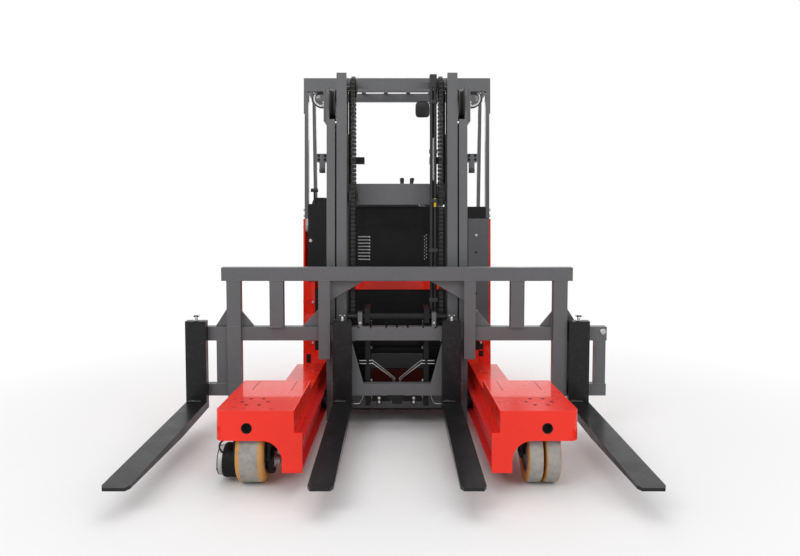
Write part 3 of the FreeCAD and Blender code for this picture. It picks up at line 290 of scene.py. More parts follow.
class Shape:
    """A mesh built up from parts in millimetres, in the CAD's own frame."""

    def __init__(self):
        self.bm = bmesh.new()

    def box(self, x, y, z):
        corners = [self.bm.verts.new((x[a], y[b], z[c]))
                   for c in (0, 1) for b in (0, 1) for a in (0, 1)]
        for face in ((0, 2, 3, 1), (4, 5, 7, 6), (0, 1, 5, 4), (2, 6, 7, 3), (0, 4, 6, 2),
                     (1, 3, 7, 5)):
            self.bm.faces.new([corners[i] for i in face])
        return self

    def border(self, square_to, width, **spans):
        """Four strips round the rim of a box, which is thin along one axis."""
        for axis in "xyz".replace(square_to, ""):
            low, high = spans[axis]
            for edge in (low, high - width):
                self.box(**{**spans, axis: (edge, edge + width)})
        return self

    def loops(self, rings, capped=True):
        """Skins a list of rings of points, each as long as the last."""
        rows = [[self.bm.verts.new(p) for p in ring] for ring in rings]
        count = len(rows[0])
        for low, high in zip(rows, rows[1:]):
            for i in range(count):
                j = (i + 1) % count
                self.bm.faces.new((low[i], low[j], high[j], high[i]))
        if capped:
            self.bm.faces.new(list(reversed(rows[0])))
            self.bm.faces.new(rows[-1])
        return self

    def turn(self, start, axis, profile, sides=32, capped=True):
        """A turned piece: (distance along the axis, radius) pairs from a start point."""
        axis = Vector(axis).normalized()
        start = Vector(start)
        u, v = frame_of(axis)
        return self.loops([ring_points(start + axis * along, u, v, radius, sides)
                           for along, radius in profile], capped)

    def rod(self, start, end, radius, sides=20, soft=0.0):
        start, end = Vector(start), Vector(end)
        length = (end - start).length
        soft = min(soft, radius * 0.6, length * 0.4)
        profile = [(0, radius), (length, radius)]
        if soft:
            profile = [(0, radius - soft), (soft, radius), (length - soft, radius),
                       (length, radius - soft)]
        return self.turn(start, end - start, profile, sides)

    def ring(self, centre, axis, radius, thick, sides=36, around=12):
        """A torus."""
        axis = Vector(axis).normalized()
        u, v = frame_of(axis)
        rows = []
        for t in angles(sides):
            out = u * math.cos(t) + v * math.sin(t)
            rows.append([self.bm.verts.new(p) for p in ring_points(
                Vector(centre) + out * radius, out, axis, thick, around)])
        for i in range(sides):
            low, high = rows[i], rows[(i + 1) % sides]
            for k in range(around):
                n = (k + 1) % around
                self.bm.faces.new((low[k], low[n], high[n], high[k]))
        return self

    def tube(self, points, radius, sides=10, smooth=6):
        """A bar or pipe through points, with its corners rounded by a spline."""
        points = [Vector(p) for p in points]
        last = len(points) - 1
        if smooth > 1 and last > 1:
            path = []
            for i in range(last):
                a, b = points[max(i - 1, 0)], points[i]
                c, d = points[i + 1], points[min(i + 2, last)]
                for k in range(smooth):
                    s = k / smooth
                    path.append(0.5 * ((2 * b) + (c - a) * s + (2 * a - 5 * b + 4 * c - d) * s * s
                                       + (3 * b - a - 3 * c + d) * s ** 3))
            points = path + [points[-1]]
            last = len(points) - 1
        tangents = [(points[min(i + 1, last)] - points[max(i - 1, 0)]).normalized()
                    for i in range(len(points))]
        u, _ = frame_of(tangents[0])
        rings = []
        for point, tangent in zip(points, tangents):
            u = (u - tangent * u.dot(tangent)).normalized()
            rings.append(ring_points(point, u, tangent.cross(u), radius, sides))
        return self.loops(rings)

    def plate(self, outline, axis, low, high):
        """An outline in the plane square to an axis, given thickness along it."""
        place = {"x": lambda a, b, t: (t, a, b), "y": lambda a, b, t: (a, t, b),
                 "z": lambda a, b, t: (a, b, t)}[axis]
        return self.loops([[place(a, b, t) for a, b in outline] for t in (low, high)])

    def bolt(self, place, axis, size=12.0, washer=True):
        """A hexagon head on a washer; size is the thread's diameter."""
        place, axis = Vector(place), Vector(axis).normalized()
        if washer:
            self.turn(place, axis, [(0, size * 1.05), (size * 0.16, size * 1.05),
                                    (size * 0.2, size * 0.95)], 20)
        return self.turn(place + axis * size * 0.15, axis,
                         [(0, size * 0.92), (size * 0.5, size * 0.92),
                          (size * 0.64, size * 0.74)], 6)

    def screw(self, place, axis, size=8.0):
        """A round cap with a hexagon socket."""
        place, axis = Vector(place), Vector(axis).normalized()
        self.turn(place, axis, [(0, size * 0.85), (size * 0.75, size * 0.85),
                                (size * 0.85, size * 0.75), (size * 0.85, size * 0.45)], 18, False)
        return self.turn(place + axis * size * 0.4, axis,
                         [(size * 0.45, size * 0.45), (0, size * 0.42)], 6)

    def bead(self, start, end, radius=3.2, step=7.0):
        """A weld bead: a tube whose thickness wanders a little."""
        start, end = Vector(start), Vector(end)
        count = max(3, int((end - start).length / step))
        u, v = frame_of(end - start)
        rings = []
        for k in range(count + 1):
            size = radius * (1.0 + 0.22 * math.sin(k * 2.1) + random.uniform(-0.1, 0.1))
            if k in (0, count):
                size *= 0.4
            rings.append(ring_points(start.lerp(end, k / count), u, v, size, 6))
        return self.loops(rings)

    def turned(self, pivot, angle):
        """Turns what is drawn so far by an angle about the x axis through pivot (y, z)."""
        about = Matrix.Translation((0, pivot[0], pivot[1]))
        bmesh.ops.transform(self.bm, verts=self.bm.verts,
                            matrix=about @ Matrix.Rotation(angle, 4, "X") @ about.inverted())
        return self

    def done(self, name, look, slot, bevel=0.0, segments=2, body="chassis", angle=32.0):
        """Makes the object, in metres, and sets it riding on its body."""
        bmesh.ops.recalc_face_normals(self.bm, faces=self.bm.faces)
        bmesh.ops.scale(self.bm, vec=(MM, MM, MM), verts=self.bm.verts)
        data = bpy.data.meshes.new(name)
        self.bm.to_mesh(data)
        self.bm.free()
        data.materials.append(LOOKS[look])
        smooth_by_angle(data, angle)
        obj = bpy.data.objects.new(name, data)
        bpy.context.scene.collection.objects.link(obj)
        if bevel:
            soften(obj, bevel, segments)
        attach(obj, body)
        return obj


def touch(node, start, heading):
    """Where a ray from a place in mm first meets a CAD piece, in mm; None if it misses."""
    obj = NODES[node]
    back = obj.matrix_world.inverted()
    start = back @ (Vector(start) * MM)
    found, place, _, _ = obj.ray_cast(start, back.to_3x3() @ Vector(heading))
    return (obj.matrix_world @ place) / MM if found else None


def soften(obj, width, segments=2, angle=35.0):
    """Rounds an object's sharp edges by a bevel given in millimetres."""
    bevel = obj.modifiers.new("Bevel", "BEVEL")
    bevel.width = width * MM
    bevel.segments = segments
    bevel.limit_method = "ANGLE"
    bevel.angle_limit = math.radians(angle)
    bevel.harden_normals = True


def span(node):
    """A node's box at rest as x, y and z spans in millimetres."""
    low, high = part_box(node)
    return [(low[i] / MM, high[i] / MM) for i in range(3)]


def middle_of(*spans):
    return [(low + high) / 2 for low, high in spans]


# ------------------------------------------------------- edges of the CAD nodes

BEVELS = {1.5: ("dash_panel", "mast_brackets", "drive_unit_front", "drive_unit_rear",
    "twin_unit_front", "caster_fork_rear", "lift_barrels", "tilt_barrel", "work_lamps"),
    2.0: ("leg_rail_left", "leg_rail_right", "corner_posts", "front_wall", "reach_carriage",
    "lift_carriage", "operator_floor"),
    2.5: ("corner_cover", "outer_mast", "inner_mast", "fork_bars", "load_backrest",
    "control_levers"),
    3.0: ("leg_left", "leg_right", "chassis_frame", "rear_hood", "front_band", "overhead_guard",
    "guard_pillars", "fork_outer_left", "fork_inner_left", "fork_inner_right", "fork_outer_right",
    "display"), 4.0: ("side_panel_left", "side_panel_right", "console"), 5.0: ("hood_lid",),
    8.0: ("mirror",),}
for width, names in BEVELS.items():
    for name in names:
        weld = NODES[name].modifiers.new("Weld", "WELD")
        weld.merge_threshold = 0.00005
        soften(NODES[name], width)


# ------------------------------------------------------------- wheels and legs

def repaint(obj, look, test):
    """Gives a second material to the faces whose centre, in millimetres, passes a test."""
    obj.data.materials.append(LOOKS[look])
    index = len(obj.data.materials) - 1
    for face in obj.data.polygons:
        if test(face.center / MM):
            face.material_index = index


def tyre(name, body, slot, centre, low, high, radius):
    """A moulded tread on an iron rim: round shoulders, a worn band, a dished face."""
    half = (high - low) / 2
    x = (low + high) / 2
    middle = (x, centre[1], centre[2])
    seat = radius * 0.7
    soft = 1.0 if half > 50 else 0.5
    outer = [(-half + 4, seat), (-half, seat + 6), (-half, radius - 22 * soft),
        (-half + 2.5 * soft, radius - 12 * soft), (-half + 8 * soft, radius - 4.5 * soft),
        (-half + 17 * soft, radius - 0.8), (-half + 24 * soft, radius), (0, radius)]
    outer += [(-a, r) for a, r in reversed(outer[:-1])]
    ring = Shape().turn(middle, RIGHT, outer, 64, capped=False)
    obj = ring.done(name + "_tread", slot, slot, body=body)
    band = half * (0.62 if half > 50 else 0.86)
    repaint(obj, "worn_band", lambda c: abs(c.x - x) < band
        and math.hypot(c.y - centre[1], c.z - centre[2]) > radius - 3)
    rim = Shape()
    face = [(-half + 6, seat + 1), (-half + 3, seat - 4), (-half + 3, seat - 9),
        (-half + 16, seat - 15), (-half + 20, radius * 0.36), (-half + 10, radius * 0.32),
        (-half + 5, radius * 0.27), (-half + 3, radius * 0.16), (-half + 3, 0.5)]
    rim.turn(middle, RIGHT, face + [(-a, r) for a, r in reversed(face)], 48, capped=False)
    rim.done(name + "_rim", "wheel_iron", slot, body=body)


def wheel(name, node, slot, pairs):
    """Stands for one wheel node: a tread and rim for each pair of edges across it."""
    limits = span(node)
    centre = middle_of(*limits)
    radius = (limits[1][1] - limits[1][0]) / 2
    centre[2] = radius
    bolts = Shape()
    for number, (low, high) in enumerate(pairs(limits[0])):
        tyre("%s_%d" % (name, number), name, slot, centre, low, high, radius)
        for side, edge in ((-1, low + 20), (1, high - 20)):
            for a, b in circle(6, radius * 0.48, math.degrees(0.3)):
                bolts.bolt((edge, centre[1] + a, centre[2] + b), (side, 0, 0), 10)
    bolts.done(name + "_bolts", "bolt_zinc", slot, body=name)
    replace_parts(bpy.data.objects[name + "_0_tread"], node)
    return centre


def single(limits):
    return [limits]


def twin(width):
    return lambda limits: [(limits[0], limits[0] + width), (limits[1] - width, limits[1])]


front_left = wheel("wheel_front_left", "drive_wheel_front", "drive_tread", single)
front_right = wheel("wheel_front_right", "twin_wheels_front", "load_tread", twin(69))
rear_right = wheel("wheel_rear_right", "drive_wheel_rear", "drive_tread", single)
wheel("wheel_rear_left", "caster_wheels_rear", "load_tread", twin(50))


def front_drive():
    """Motor fins, a brake with its cover and studs, the gear hub and a lead."""
    body = "steer_front_left"
    dx, dy, dz = front_left
    shaft = dz - 50
    out = span("drive_unit_front")[0][0]
    fins = Shape()
    for k in range(7):
        fins.turn((out + 32 + k * 8.5, dy, shaft), RIGHT,
            [(0, 77), (0.5, 79.5), (3.5, 79.5), (4, 77)], 48)
    fins.done("drive_motor_fins", "black_paint", "black_paint", body=body)
    brake = Shape().turn((out, dy, shaft), RIGHT,
        [(0, 20), (0, 54), (2, 64), (5, 69), (7, 69.6), (24, 69.6), (26, 67.5)], 56)
    brake.done("brake_ring", "wheel_alloy", "black_paint", body=body)
    cover = Shape().turn((out - 2.6, dy, shaft), RIGHT, [(0, 14), (1.5, 26), (3, 44), (4, 46)], 40)
    for a, b in circle(3, 56, 90):
        cover.screw((out - 0.6, dy + a, shaft + b), (-0.3, 0, 0), 6)
    cover.done("brake_cover", "black_paint", "black_paint", body=body)
    hub = Shape().turn((dx + 76, dy, shaft), RIGHT,
        [(0, 40), (1, 44), (7, 44), (9, 41), (38, 23), (44, 21), (47.5, 19), (48, 0.5)], 40,
        capped=False)
    hub.done("gear_hub", "wheel_alloy", "black_paint", body=body)
    case = Shape().turn((dx + 72.5, dy, shaft), RIGHT,
        [(0, 60), (4, 64), (18, 64), (23, 58), (25, 30)], 48, capped=False)
    for a, b in circle(8, 48):
        case.bolt((dx + 95, dy + a, shaft + b), RIGHT, 7)
    case.done("gear_case", "black_paint", "black_paint", body=body)
    lead = Shape().tube([(out + across, dy + along, shaft + up)
        for across, along, up in ((30, -60, 52), (22, -74, 68), (14, -66, 92), (30, -40, 108),
        (66, -30, 116))], 4.5)
    lead.done("brake_lead", "hose_rubber", "black_paint", body=body)


front_drive()

# Turntables: a toothed ring on each of three wheel units
for node, body, (x, y, _) in (("drive_unit_front", "steer_front_left", front_left),
        ("twin_unit_front", "steer_front_right", front_right),
        ("drive_unit_rear", "steer_rear_right", rear_right)):
    top = span(node)[2][1]
    outline = [(x + r * math.cos(turn + offset), y + r * math.sin(turn + offset))
        for turn in angles(72)
        for offset, r in ((-0.02, 104), (-0.012, 111), (0.012, 111), (0.02, 104))]
    gear = Shape().plate(outline, "z", top - 22, top - 10)
    gear.done(node + "_gear", "wheel_iron", "black_paint", body=body)

# Legs: weld seams, a near-black ring and sleeve of painted shade inside each lashing eye, and the
# screws over the turntables
PIN_X, PIN_RING = 680.0, 61.5
EYE_X, EYE_Z, EYE_RADIUS = 686.0, 293.0, 23.0
HOUSING_LENGTH, INNER_FACE, BEAM_FACE = 575.0, 470.0, 560.0
for side, node in ((-1, "leg_left"), (1, "leg_right")):
    _, (front, back), (_, top) = span(node)
    housing = front + HOUSING_LENGTH
    eye_shade = Shape().ring((side * EYE_X, front + 1.6, EYE_Z), AFT, EYE_RADIUS + 0.6, 2.4, 40, 10)
    eye_shade.turn((side * EYE_X, front + 1.5, EYE_Z), AFT,
        [(0, EYE_RADIUS), (26, EYE_RADIUS), (26, 1)], 40, capped=False)
    eye_shade.done(node + "_eye", "dark_gap", "red_paint")
    seam = Shape()
    for (x0, y0, z0), (x1, y1,
            z1), radius in (((INNER_FACE + 2, front + 10, top - 2),
            (INNER_FACE + 2, housing - 10, top - 2), 3.0),
            ((INNER_FACE + 1, front + 2, 238), (INNER_FACE + 1, housing, 238), 4.0),
            ((BEAM_FACE, housing, 278), (BEAM_FACE, back - 2, 278), 4.0),
            ((INNER_FACE + 6, housing + 1, top - 40), (820, housing + 1, 277), 3.0)):
        seam.tube([(side * x0, y0, z0), (side * x1, y1, z1)], radius, 8, 1)
    seam.done(node + "_welds", "red_paint", "red_paint")
    screws = Shape()
    for a, b in circle(6, PIN_RING):
        screws.turn((side * PIN_X + a, front + 150 + b, top - 9), UP,
            [(0, 5.2), (6, 5.2), (6.5, 3.0), (3, 2.8)], 6)
    screws.done(node + "_pin_screws", "chain_steel", "red_paint")

# Leg tops: near-black discs of painted shade for the bolt holes over the turntables, and two seams
# of the cover plate
leg_top = span("leg_left")[2][1]
dots, seams = Shape(), Shape()
for side in SIDES:
    for a, b in circle(6, PIN_RING):
        dots.turn((side * PIN_X + a, -876 + b, leg_top), UP, [(0, 8.5), (0.7, 8.5), (0.7, 0.5)], 18)
    for x, back in ((744, -649), (542, -677)):
        seams.box((side * x - 1.2, side * x + 1.2), (back, -468), (leg_top - 1, leg_top + 0.5))
dots.done("leg_top_holes", "dark_gap", "red_paint")
seams.done("leg_top_seams", "dark_gap", "red_paint")
cheeks = Shape()
tx, ty, _ = front_right
for side in SIDES:
    cheeks.plate([(ty - 58, 252), (ty + 58, 252), (ty + 46, 176), (ty + 20, 124), (ty - 20, 124),
        (ty - 46, 176)], "x", *sorted((tx + side * 82, tx + side * 92)))
    cheeks.turn((tx + side * 92, ty, 142), (side, 0, 0),
        [(0, 22), (4, 22), (6, 18), (6, 9), (10, 8)], 28)
cheeks.done("twin_cheeks", "black_paint", "black_paint", 2.0, body="steer_front_right")


# --------------------------------------------------------------- mast and chains

mast_x, mast_y, _ = span("outer_mast")
inner_y = span("inner_mast")[1]
_, chain_y, chain_z = span("lift_chains")
CHAIN = 265.0
DEPTH = 20.0
front_y = chain_y[0] + DEPTH / 2
back_y = chain_y[1] - DEPTH / 2
wrap = (back_y - front_y) / 2
turn_z = chain_z[1] - wrap - DEPTH / 2
BACK_LOW = 1330.0
PITCH = 25.4


def chain_path(distance):
    """Place and heading of the chain: up the front, over the wheel, down the back."""
    rise = turn_z - chain_z[0]
    arc = math.pi * wrap
    middle = (front_y + back_y) / 2
    if distance < rise:
        return front_y, chain_z[0] + distance, 0.0
    if distance < rise + arc:
        t = (distance - rise) / wrap
        return middle - wrap * math.cos(t), turn_z + wrap * math.sin(t), t
    return back_y, turn_z - (distance - rise - arc), math.pi


def link_plate(shape, x, y, z, heading, thick, length, half):
    """One oblong link plate, waisted in its middle."""
    up = Vector((0, math.sin(heading), math.cos(heading)))
    out = Vector((0, math.cos(heading), -math.sin(heading)))
    outline = []
    for sign in (1, -1):
        for k in range(5):
            t = math.pi * k / 4
            outline.append((sign * (length / 2 + half * math.sin(t)), sign * half * math.cos(t)))
        outline.append((0, sign * -half * 0.72))
    rings = []
    for offset in (-thick / 2, thick / 2):
        rings.append([Vector((x + offset, y, z)) + up * a + out * b for a, b in outline])
    shape.loops(rings)


for side, name in SIDE_NAMES.items():
    x, middle = side * CHAIN, (front_y + back_y) / 2
    links = Shape()
    total = (turn_z - chain_z[0]) + math.pi * wrap + (turn_z - BACK_LOW)
    for k in range(int(total / PITCH)):
        y, z, heading = chain_path((k + 0.5) * PITCH)
        for offset in (-10, -3.4, 3.4, 10) if k % 2 else (-6.7, 0, 6.7):
            link_plate(links, x + offset, y, z, heading, 3.2, PITCH, 10.2)
        y, z, heading = chain_path(k * PITCH)
        links.rod((x - 13.5, y, z), (x + 13.5, y, z), 4.4, 8)
    chain = links.done("lift_chain_" + name, "chain_steel", "chain_steel", body="inner_stage",
        angle=50)
    if side < 0:
        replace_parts(chain, "lift_chains")
    flange, groove = wrap - 2, wrap - DEPTH / 2 - 0.5
    sheave = Shape().turn((x - 20, middle, turn_z), RIGHT,
        [(0, 8), (0, flange), (3, flange), (5, groove), (35, groove), (37, flange), (40, flange),
        (40, 8)], 48, capped=False)
    sheave.turn((x - 22, middle, turn_z), RIGHT, [(0, 6), (0, 17), (44, 17), (44, 6)], 24,
        capped=False)
    sheave.done("chain_wheel_" + name, "chain_steel", "chain_steel", body="inner_stage")
    anchor = Shape().rod((x, front_y, chain_z[0] - 34), (x, front_y, chain_z[0] + 8), 7)
    anchor.bolt((x, front_y, chain_z[0] - 20), DOWN, 13)
    anchor.box((x - 17, x + 17), (front_y - 9, front_y + 9), (chain_z[0] - 8, chain_z[0] + 14))
    anchor.done("chain_anchor_" + name, "bolt_zinc", "chain_steel", body="inner_stage")

# Chain guard brackets on the cylinders, with black strips of painted shade down beside the chains
for side, name in SIDE_NAMES.items():
    guard = Shape().box(flip(side, 204, 302), (36, 86), (1608, 1649))
    for x in (232, 286):
        guard.bolt((side * x, 36, 1628), FORE, 7)
    guard.done("chain_guide_" + name, "black_paint", "black_paint", 2.0, body="reach")
    shade_strip = Shape().box(flip(side, 280, 303), (56, 64), (1485, 2068))
    shade_strip.done("chain_strip_" + name, "black_paint", "black_paint", 1.0, body="reach")

# Hoses: clamps, a tray, crimped ends, and a thin spiral cable between them
hose_x, hose_y, hose_z = span("mast_hoses")
hose_front = hose_y[0] + 9
hose_mid = (hose_x[0] + hose_x[1]) / 2
clamps = Shape()
for k in range(5):
    z = 760 + k * 300
    clamps.box((hose_x[0] - 4, hose_x[1] + 4), (hose_front - 12.5, hose_front + 12), (z, z + 22))
    clamps.screw((hose_mid, hose_front - 12.5, z + 11), FORE, 6)
clamps.done("hose_clamps", "control_plastic", "hose_rubber", 1.5, body="inner_stage")
tray = Shape().box((hose_x[0] + 7, hose_x[1] - 7), (hose_front + 9.5, hose_front + 11.5),
    (740, 2044))
tray.done("hose_tray", "black_paint", "hose_rubber", 0.6, body="inner_stage")
crimps = Shape()
for edge in (hose_x[0] + 9, hose_x[1] - 9):
    for z, up in ((hose_z[0] - 6, 1), (hose_z[1] - 60, -1)):
        crimps.turn((edge, hose_front, z), UP,
            [(0, 7.5), (2, 11), (12, 11), (14, 10), (34, 10.6), (38, 9.2)], 16)
crimps.done("hose_crimps", "chain_steel", "hose_rubber", body="inner_stage")
sleeve = Shape().turn((hose_x[1] - 9, hose_front, 1334), UP,
    [(0, 9.1), (1, 9.7), (50, 9.7), (51, 9.1)], 20)
sleeve.done("hose_mark", "stop_yellow", "hose_rubber", body="inner_stage")
cable = Shape()
points = []
for k in range(300):
    turn = 2 * math.pi * k / 10
    points.append((hose_mid + 4.2 * math.cos(turn), hose_front - 14 + 4.2 * math.sin(turn),
        1495 + k * 0.85))
cable.tube(points, 1.9, 6, 1)
cable.done("spiral_cable", "pale_plastic", "hose_rubber", body="inner_stage")

# Weld beads along the mast's ties and channels
TIES = (1352, 1485)
welds = Shape()
for side in SIDES:
    for z in TIES:
        welds.bead((side * 403, 58, z), (side * 403, 80, z))
    welds.bead((side * 404, mast_y[0] + 165, TIES[0] + 4),
        (side * 404, mast_y[0] + 165, TIES[1] - 4), 3.6)
welds.done("mast_welds", "weld_bead", "grey_paint", body="reach")
welds = Shape()
for side in SIDES:
    for low, high in ((2078, 2115), (108, 182)):
        welds.bead((side * 304, inner_y[0] + 133, low), (side * 304, inner_y[0] + 133, high), 3.0)
welds.done("inner_mast_welds", "weld_bead", "grey_paint", body="inner_stage")

# Mast top: sheave pins, grease nipples, bolts and the bracket knobs
pins = Shape()
middle = middle_of(*span("mast_sheaves")[1:])
for side in SIDES:
    pins.turn((side * 445, *middle), (side, 0, 0),
        [(0, 22), (5, 22), (7, 19), (7, 9), (11, 8), (14, 4)], 28)
    for off in (-34, 34):
        pins.bolt((side * 445, middle[0] + off, middle[1] + 8), (side, 0, 0), 10)
pins.done("sheave_pins", "bolt_zinc", "grey_paint", body="reach")
knobs = Shape()
brackets = span("mast_brackets")
for side in SIDES:
    x = side * (mast_x[1] - 20 + 12 + 18)
    y = brackets[1][0]
    knobs.turn((x, y, 1555), FORE, [(0, 8), (1, 13.5), (4, 15), (14, 15), (18, 13), (20, 8)], 24)
knobs.done("bracket_knobs", "control_plastic", "grey_paint", body="reach")
bolts = Shape()
for side in SIDES:
    for x, z in ((439, 1623), (477, 1623), (439, 1647), (477, 1647)):
        bolts.bolt((side * x, brackets[1][0] + 26, z), FORE, 8)
bolts.done("bracket_bolts", "black_paint", "grey_paint", body="reach")

# Lift cylinders: gland nuts, hose ports and base clamps
LIFT_X = 338.0
heads = Shape()
barrel = span("lift_barrels")
axis_y = (barrel[1][0] + barrel[1][1]) / 2
for side in SIDES:
    x = side * LIFT_X
    heads.turn((x, axis_y, barrel[2][1] - 46), UP,
        [(0, 36.5), (2, 38.5), (34, 38.5), (38, 36), (44, 30), (46, 24), (46, 21)], 8)
    heads.turn((x, axis_y, barrel[2][0] + 26), UP, [(0, 36.3), (3, 39), (40, 39), (43, 36.3)], 36)
    heads.turn((x - side * 20, axis_y + 30, barrel[2][0] + 70), (-side * 0.4, 1, 0),
        [(0, 13), (14, 13), (16, 9), (30, 9)], 6)
heads.done("lift_cylinder_heads", "black_paint", "black_paint", body="reach", angle=25)


# -------------------------------------------------------- fork frame and forks

PIVOT = (-158.0, 679.0)
DROOP = math.radians(3.0)
BAR_FRONT = -193.0
REST_FRONT, REST_BACK = -213.0, -163.0


def hung(shape, name, look, slot, bevel=0.0, **more):
    """Finishes a piece drawn upright on the fork frame, turned to the frame's droop."""
    shape.turned(PIVOT, DROOP)
    return shape.done(name, look, slot, bevel, body="fork_frame", **more)


# Welds where the posts meet the top bar, the hook bar and the sill bar
posts = [(915, 82), (665, 80), (392, 68)]
welds = Shape()
for side in SIDES:
    for x, wide in posts:
        near, far = side * x, side * (x + wide)
        for edge in (near, far):
            welds.bead((edge, REST_BACK, 897), (edge, REST_FRONT, 897), 3.0)
        welds.bead((near, REST_FRONT + 0.5, 899.5), (far, REST_FRONT + 0.5, 899.5), 2.6)
    for x, wide in posts[:2]:
        welds.bead((side * x, REST_FRONT + 1, 628), (side * (x + wide), REST_FRONT + 1, 628), 3.2)
        for edge in (side * x, side * (x + wide)):
            welds.bead((edge, REST_FRONT + 20, 628), (edge, REST_FRONT, 628), 3.0)
    for x, wide in ((1002, 62), (1168, 62)):
        for z in (286, 543):
            welds.bead((side * x, BAR_FRONT, z), (side * (x + wide), BAR_FRONT, z), 3.0)
    for x, z, rise in ((392, 780, 118), (460, 731, -100), (915, 714, -100), (997, 744, -100)):
        welds.bead((side * x, REST_BACK - 10, z), (side * x, REST_BACK - 10, z + rise), 2.6)
    welds.bead((side * 205, BAR_FRONT, 628), (side * 230, BAR_FRONT, 628), 3.2)
hung(welds, "fork_frame_welds", "weld_bead", "grey_paint")

# A round stop near each end of the hook bar, and bolts
caps = Shape()
for side in SIDES:
    caps.turn((side * 1212, BAR_FRONT, 598), FORE, [(0, 17), (3, 17), (5, 14), (5, 0.5)], 28)
    caps.bolt((side * 1212, BAR_FRONT - 4, 598), FORE, 8, washer=False)
    caps.bolt((side * 217.5, BAR_FRONT, 648), FORE, 8)
hung(caps, "hook_bar_stops", "bolt_zinc", "grey_paint")

# Tilt lugs' bushes and grease nipples
bushes = Shape()
for side in SIDES:
    bushes.turn((side * 230, *PIVOT), (side, 0, 0),
        [(0, 29), (4, 29), (6, 27), (6, 21.5), (0, 21.5)], 32, capped=False)
    bushes.turn((side * 217.5, -158, 708), UP, [(0, 5), (4, 5), (5, 3), (9, 3), (11, 1.5)], 10)
hung(bushes, "tilt_lug_bushes", "chain_steel", "grey_paint")

# Fork pins with their cross handles, over the black ones of the forks
SHANK_FRONT, SHANK_THICK = -238.0, 45.0
shank_mid = SHANK_FRONT + SHANK_THICK / 2
pin_x = {"fork_outer_left": -1173, "fork_inner_left": -319, "fork_inner_right": 319,
    "fork_outer_right": 1062}
pins = Shape()
for middle in pin_x.values():
    pins.turn((middle, shank_mid, 666), UP,
        [(0, 15), (2, 16), (4, 16), (5, 8.2), (24, 8.2), (26, 7)], 24)
    pins.tube([(middle - 17, shank_mid, 697), (middle - 12, shank_mid, 696),
        (middle, shank_mid, 695), (middle + 12, shank_mid, 696), (middle + 17, shank_mid, 697)],
        5.4, 12)
hung(pins, "fork_pins", "bolt_zinc", "fork_steel")

# Fork heels: a weld line at the hook, and two fine light lines on the heel as painted glints
weld_and_glint_lines = Shape()
for name, middle in pin_x.items():
    half = 60 if "outer" in name else 55
    weld_and_glint_lines.bead((middle - half + 2, BAR_FRONT - 1, 665), (middle + half - 2, BAR_FRONT - 1, 665), 3.0)
    weld_and_glint_lines.bead((middle - half + 4, -239, 196), (middle + half - 34, -239, 197), 1.8, 5)
    weld_and_glint_lines.bead((middle - half + 14, -240, 203), (middle - 8, -240, 201), 1.2, 5)
hung(weld_and_glint_lines, "fork_heel_welds", "weld_bead", "fork_steel")

# Thin wire straps from the sill bar out to the fork shanks
wires = Shape()
for side in SIDES:
    wires.tube([(side * 200, BAR_FRONT - 2, 222), (side * 206, BAR_FRONT - 5, 197),
        (side * 219, BAR_FRONT - 5, 177), (side * 226, BAR_FRONT - 5, 170),
        (side * 262, BAR_FRONT - 4, 167)], 2.4, 8)
hung(wires, "fork_wire_straps", "bolt_zinc", "grey_paint")

# The block under the sill bar that carries the tilt rod's pin
block = Shape().box((-62, 47), (BAR_FRONT - 6, BAR_FRONT + 1), (190, 217))
block.box((-31, 31), (BAR_FRONT - 6, BAR_FRONT), (168, 190))
for x in (-50, 36):
    block.screw((x, BAR_FRONT - 6, 204), FORE, 7)
hung(block, "tilt_pin_block", "black_paint", "grey_paint", 2.0)

# ------------------------------------------------- lift carriage and tilt cylinder

pipes = Shape()
for side in SIDES:
    for z, drop, y in ((412, 0, -84), (394, 8, -76)):
        inner = side * (15 + drop)
        pipes.tube([(side * 226, -125, z), (side * 190, -125, z), (side * 152, -125, z),
            (side * 138, -123, z - 5), (inner + side * 8, y - 3, 306 - drop),
            (inner, y, 292 - drop), (inner, y, 262)], 3.2, 10, 7)
pipes.tube([(22, -80, 244), (40, -80, 254), (100, -80, 254), (165, -80, 254)], 3.2, 8)
pipes.done("tilt_pipes", "bolt_zinc", "black_paint", body="lift")
fittings = Shape()
for x, y in ((-15, -84), (15, -84), (-23, -76), (23, -76)):
    fittings.turn((x, y, 240), UP, [(0, 7), (16, 7), (17, 9.5), (28, 9.5), (30, 6)], 6)
fittings.box((-38, 38), (-96, -62), (212, 242))
for side in SIDES:
    for z in (412, 394):
        fittings.turn((side * 224, -125, z), (side, 0, 0), [(0, 6.6), (12, 6.6), (13, 5), (20, 4)],
            6)
    fittings.box(flip(side, 168, 182), (-131, -119), (386, 420))
fittings.done("tilt_pipe_fittings", "black_paint", "black_paint", 1.0, body="lift")

TILT_HEIGHT = 184.6
gland = Shape()
front = touch("tilt_barrel", (0, -400, 205), AFT).y
gland.turn((0, front + 2, TILT_HEIGHT), FORE,
    [(0, 30), (0, 33.5), (3, 33.5), (6, 31), (6, 16.5), (0, 16.5)], 36, capped=False)
for a, b in circle(4, 25, 45):
    gland.screw((a, front - 3.5, TILT_HEIGHT + b), FORE, 5)
gland.done("tilt_gland", "chain_steel", "black_paint", body="lift")

# Carriage cheeks: bolts, roller ends with circlips, weld beads
cheeks = Shape()
for side in SIDES:
    for z in (170, 268, 470, 640):
        cheeks.bolt((side * 160, -20, z), (-side, 0, 0), 11)
    for z in (215, 575):
        cheeks.turn((side * 160, -26, z), (-side, 0, 0),
            [(0, 24), (3, 24), (4, 22), (4, 13), (9, 12), (10, 9)], 28)
cheeks.done("carriage_roller_bolts", "bolt_zinc", "black_paint", body="lift")
welds = Shape()
for side in SIDES:
    for low, high in ((141, 229), (581, 659)):
        welds.bead((side * 158, -22, low), (side * 158, -22, high), 3.4)
    welds.bead((side * 175, -121, 650), (side * 175, -121, 728), 2.6)
welds.done("carriage_welds", "weld_bead", "black_paint", body="lift")

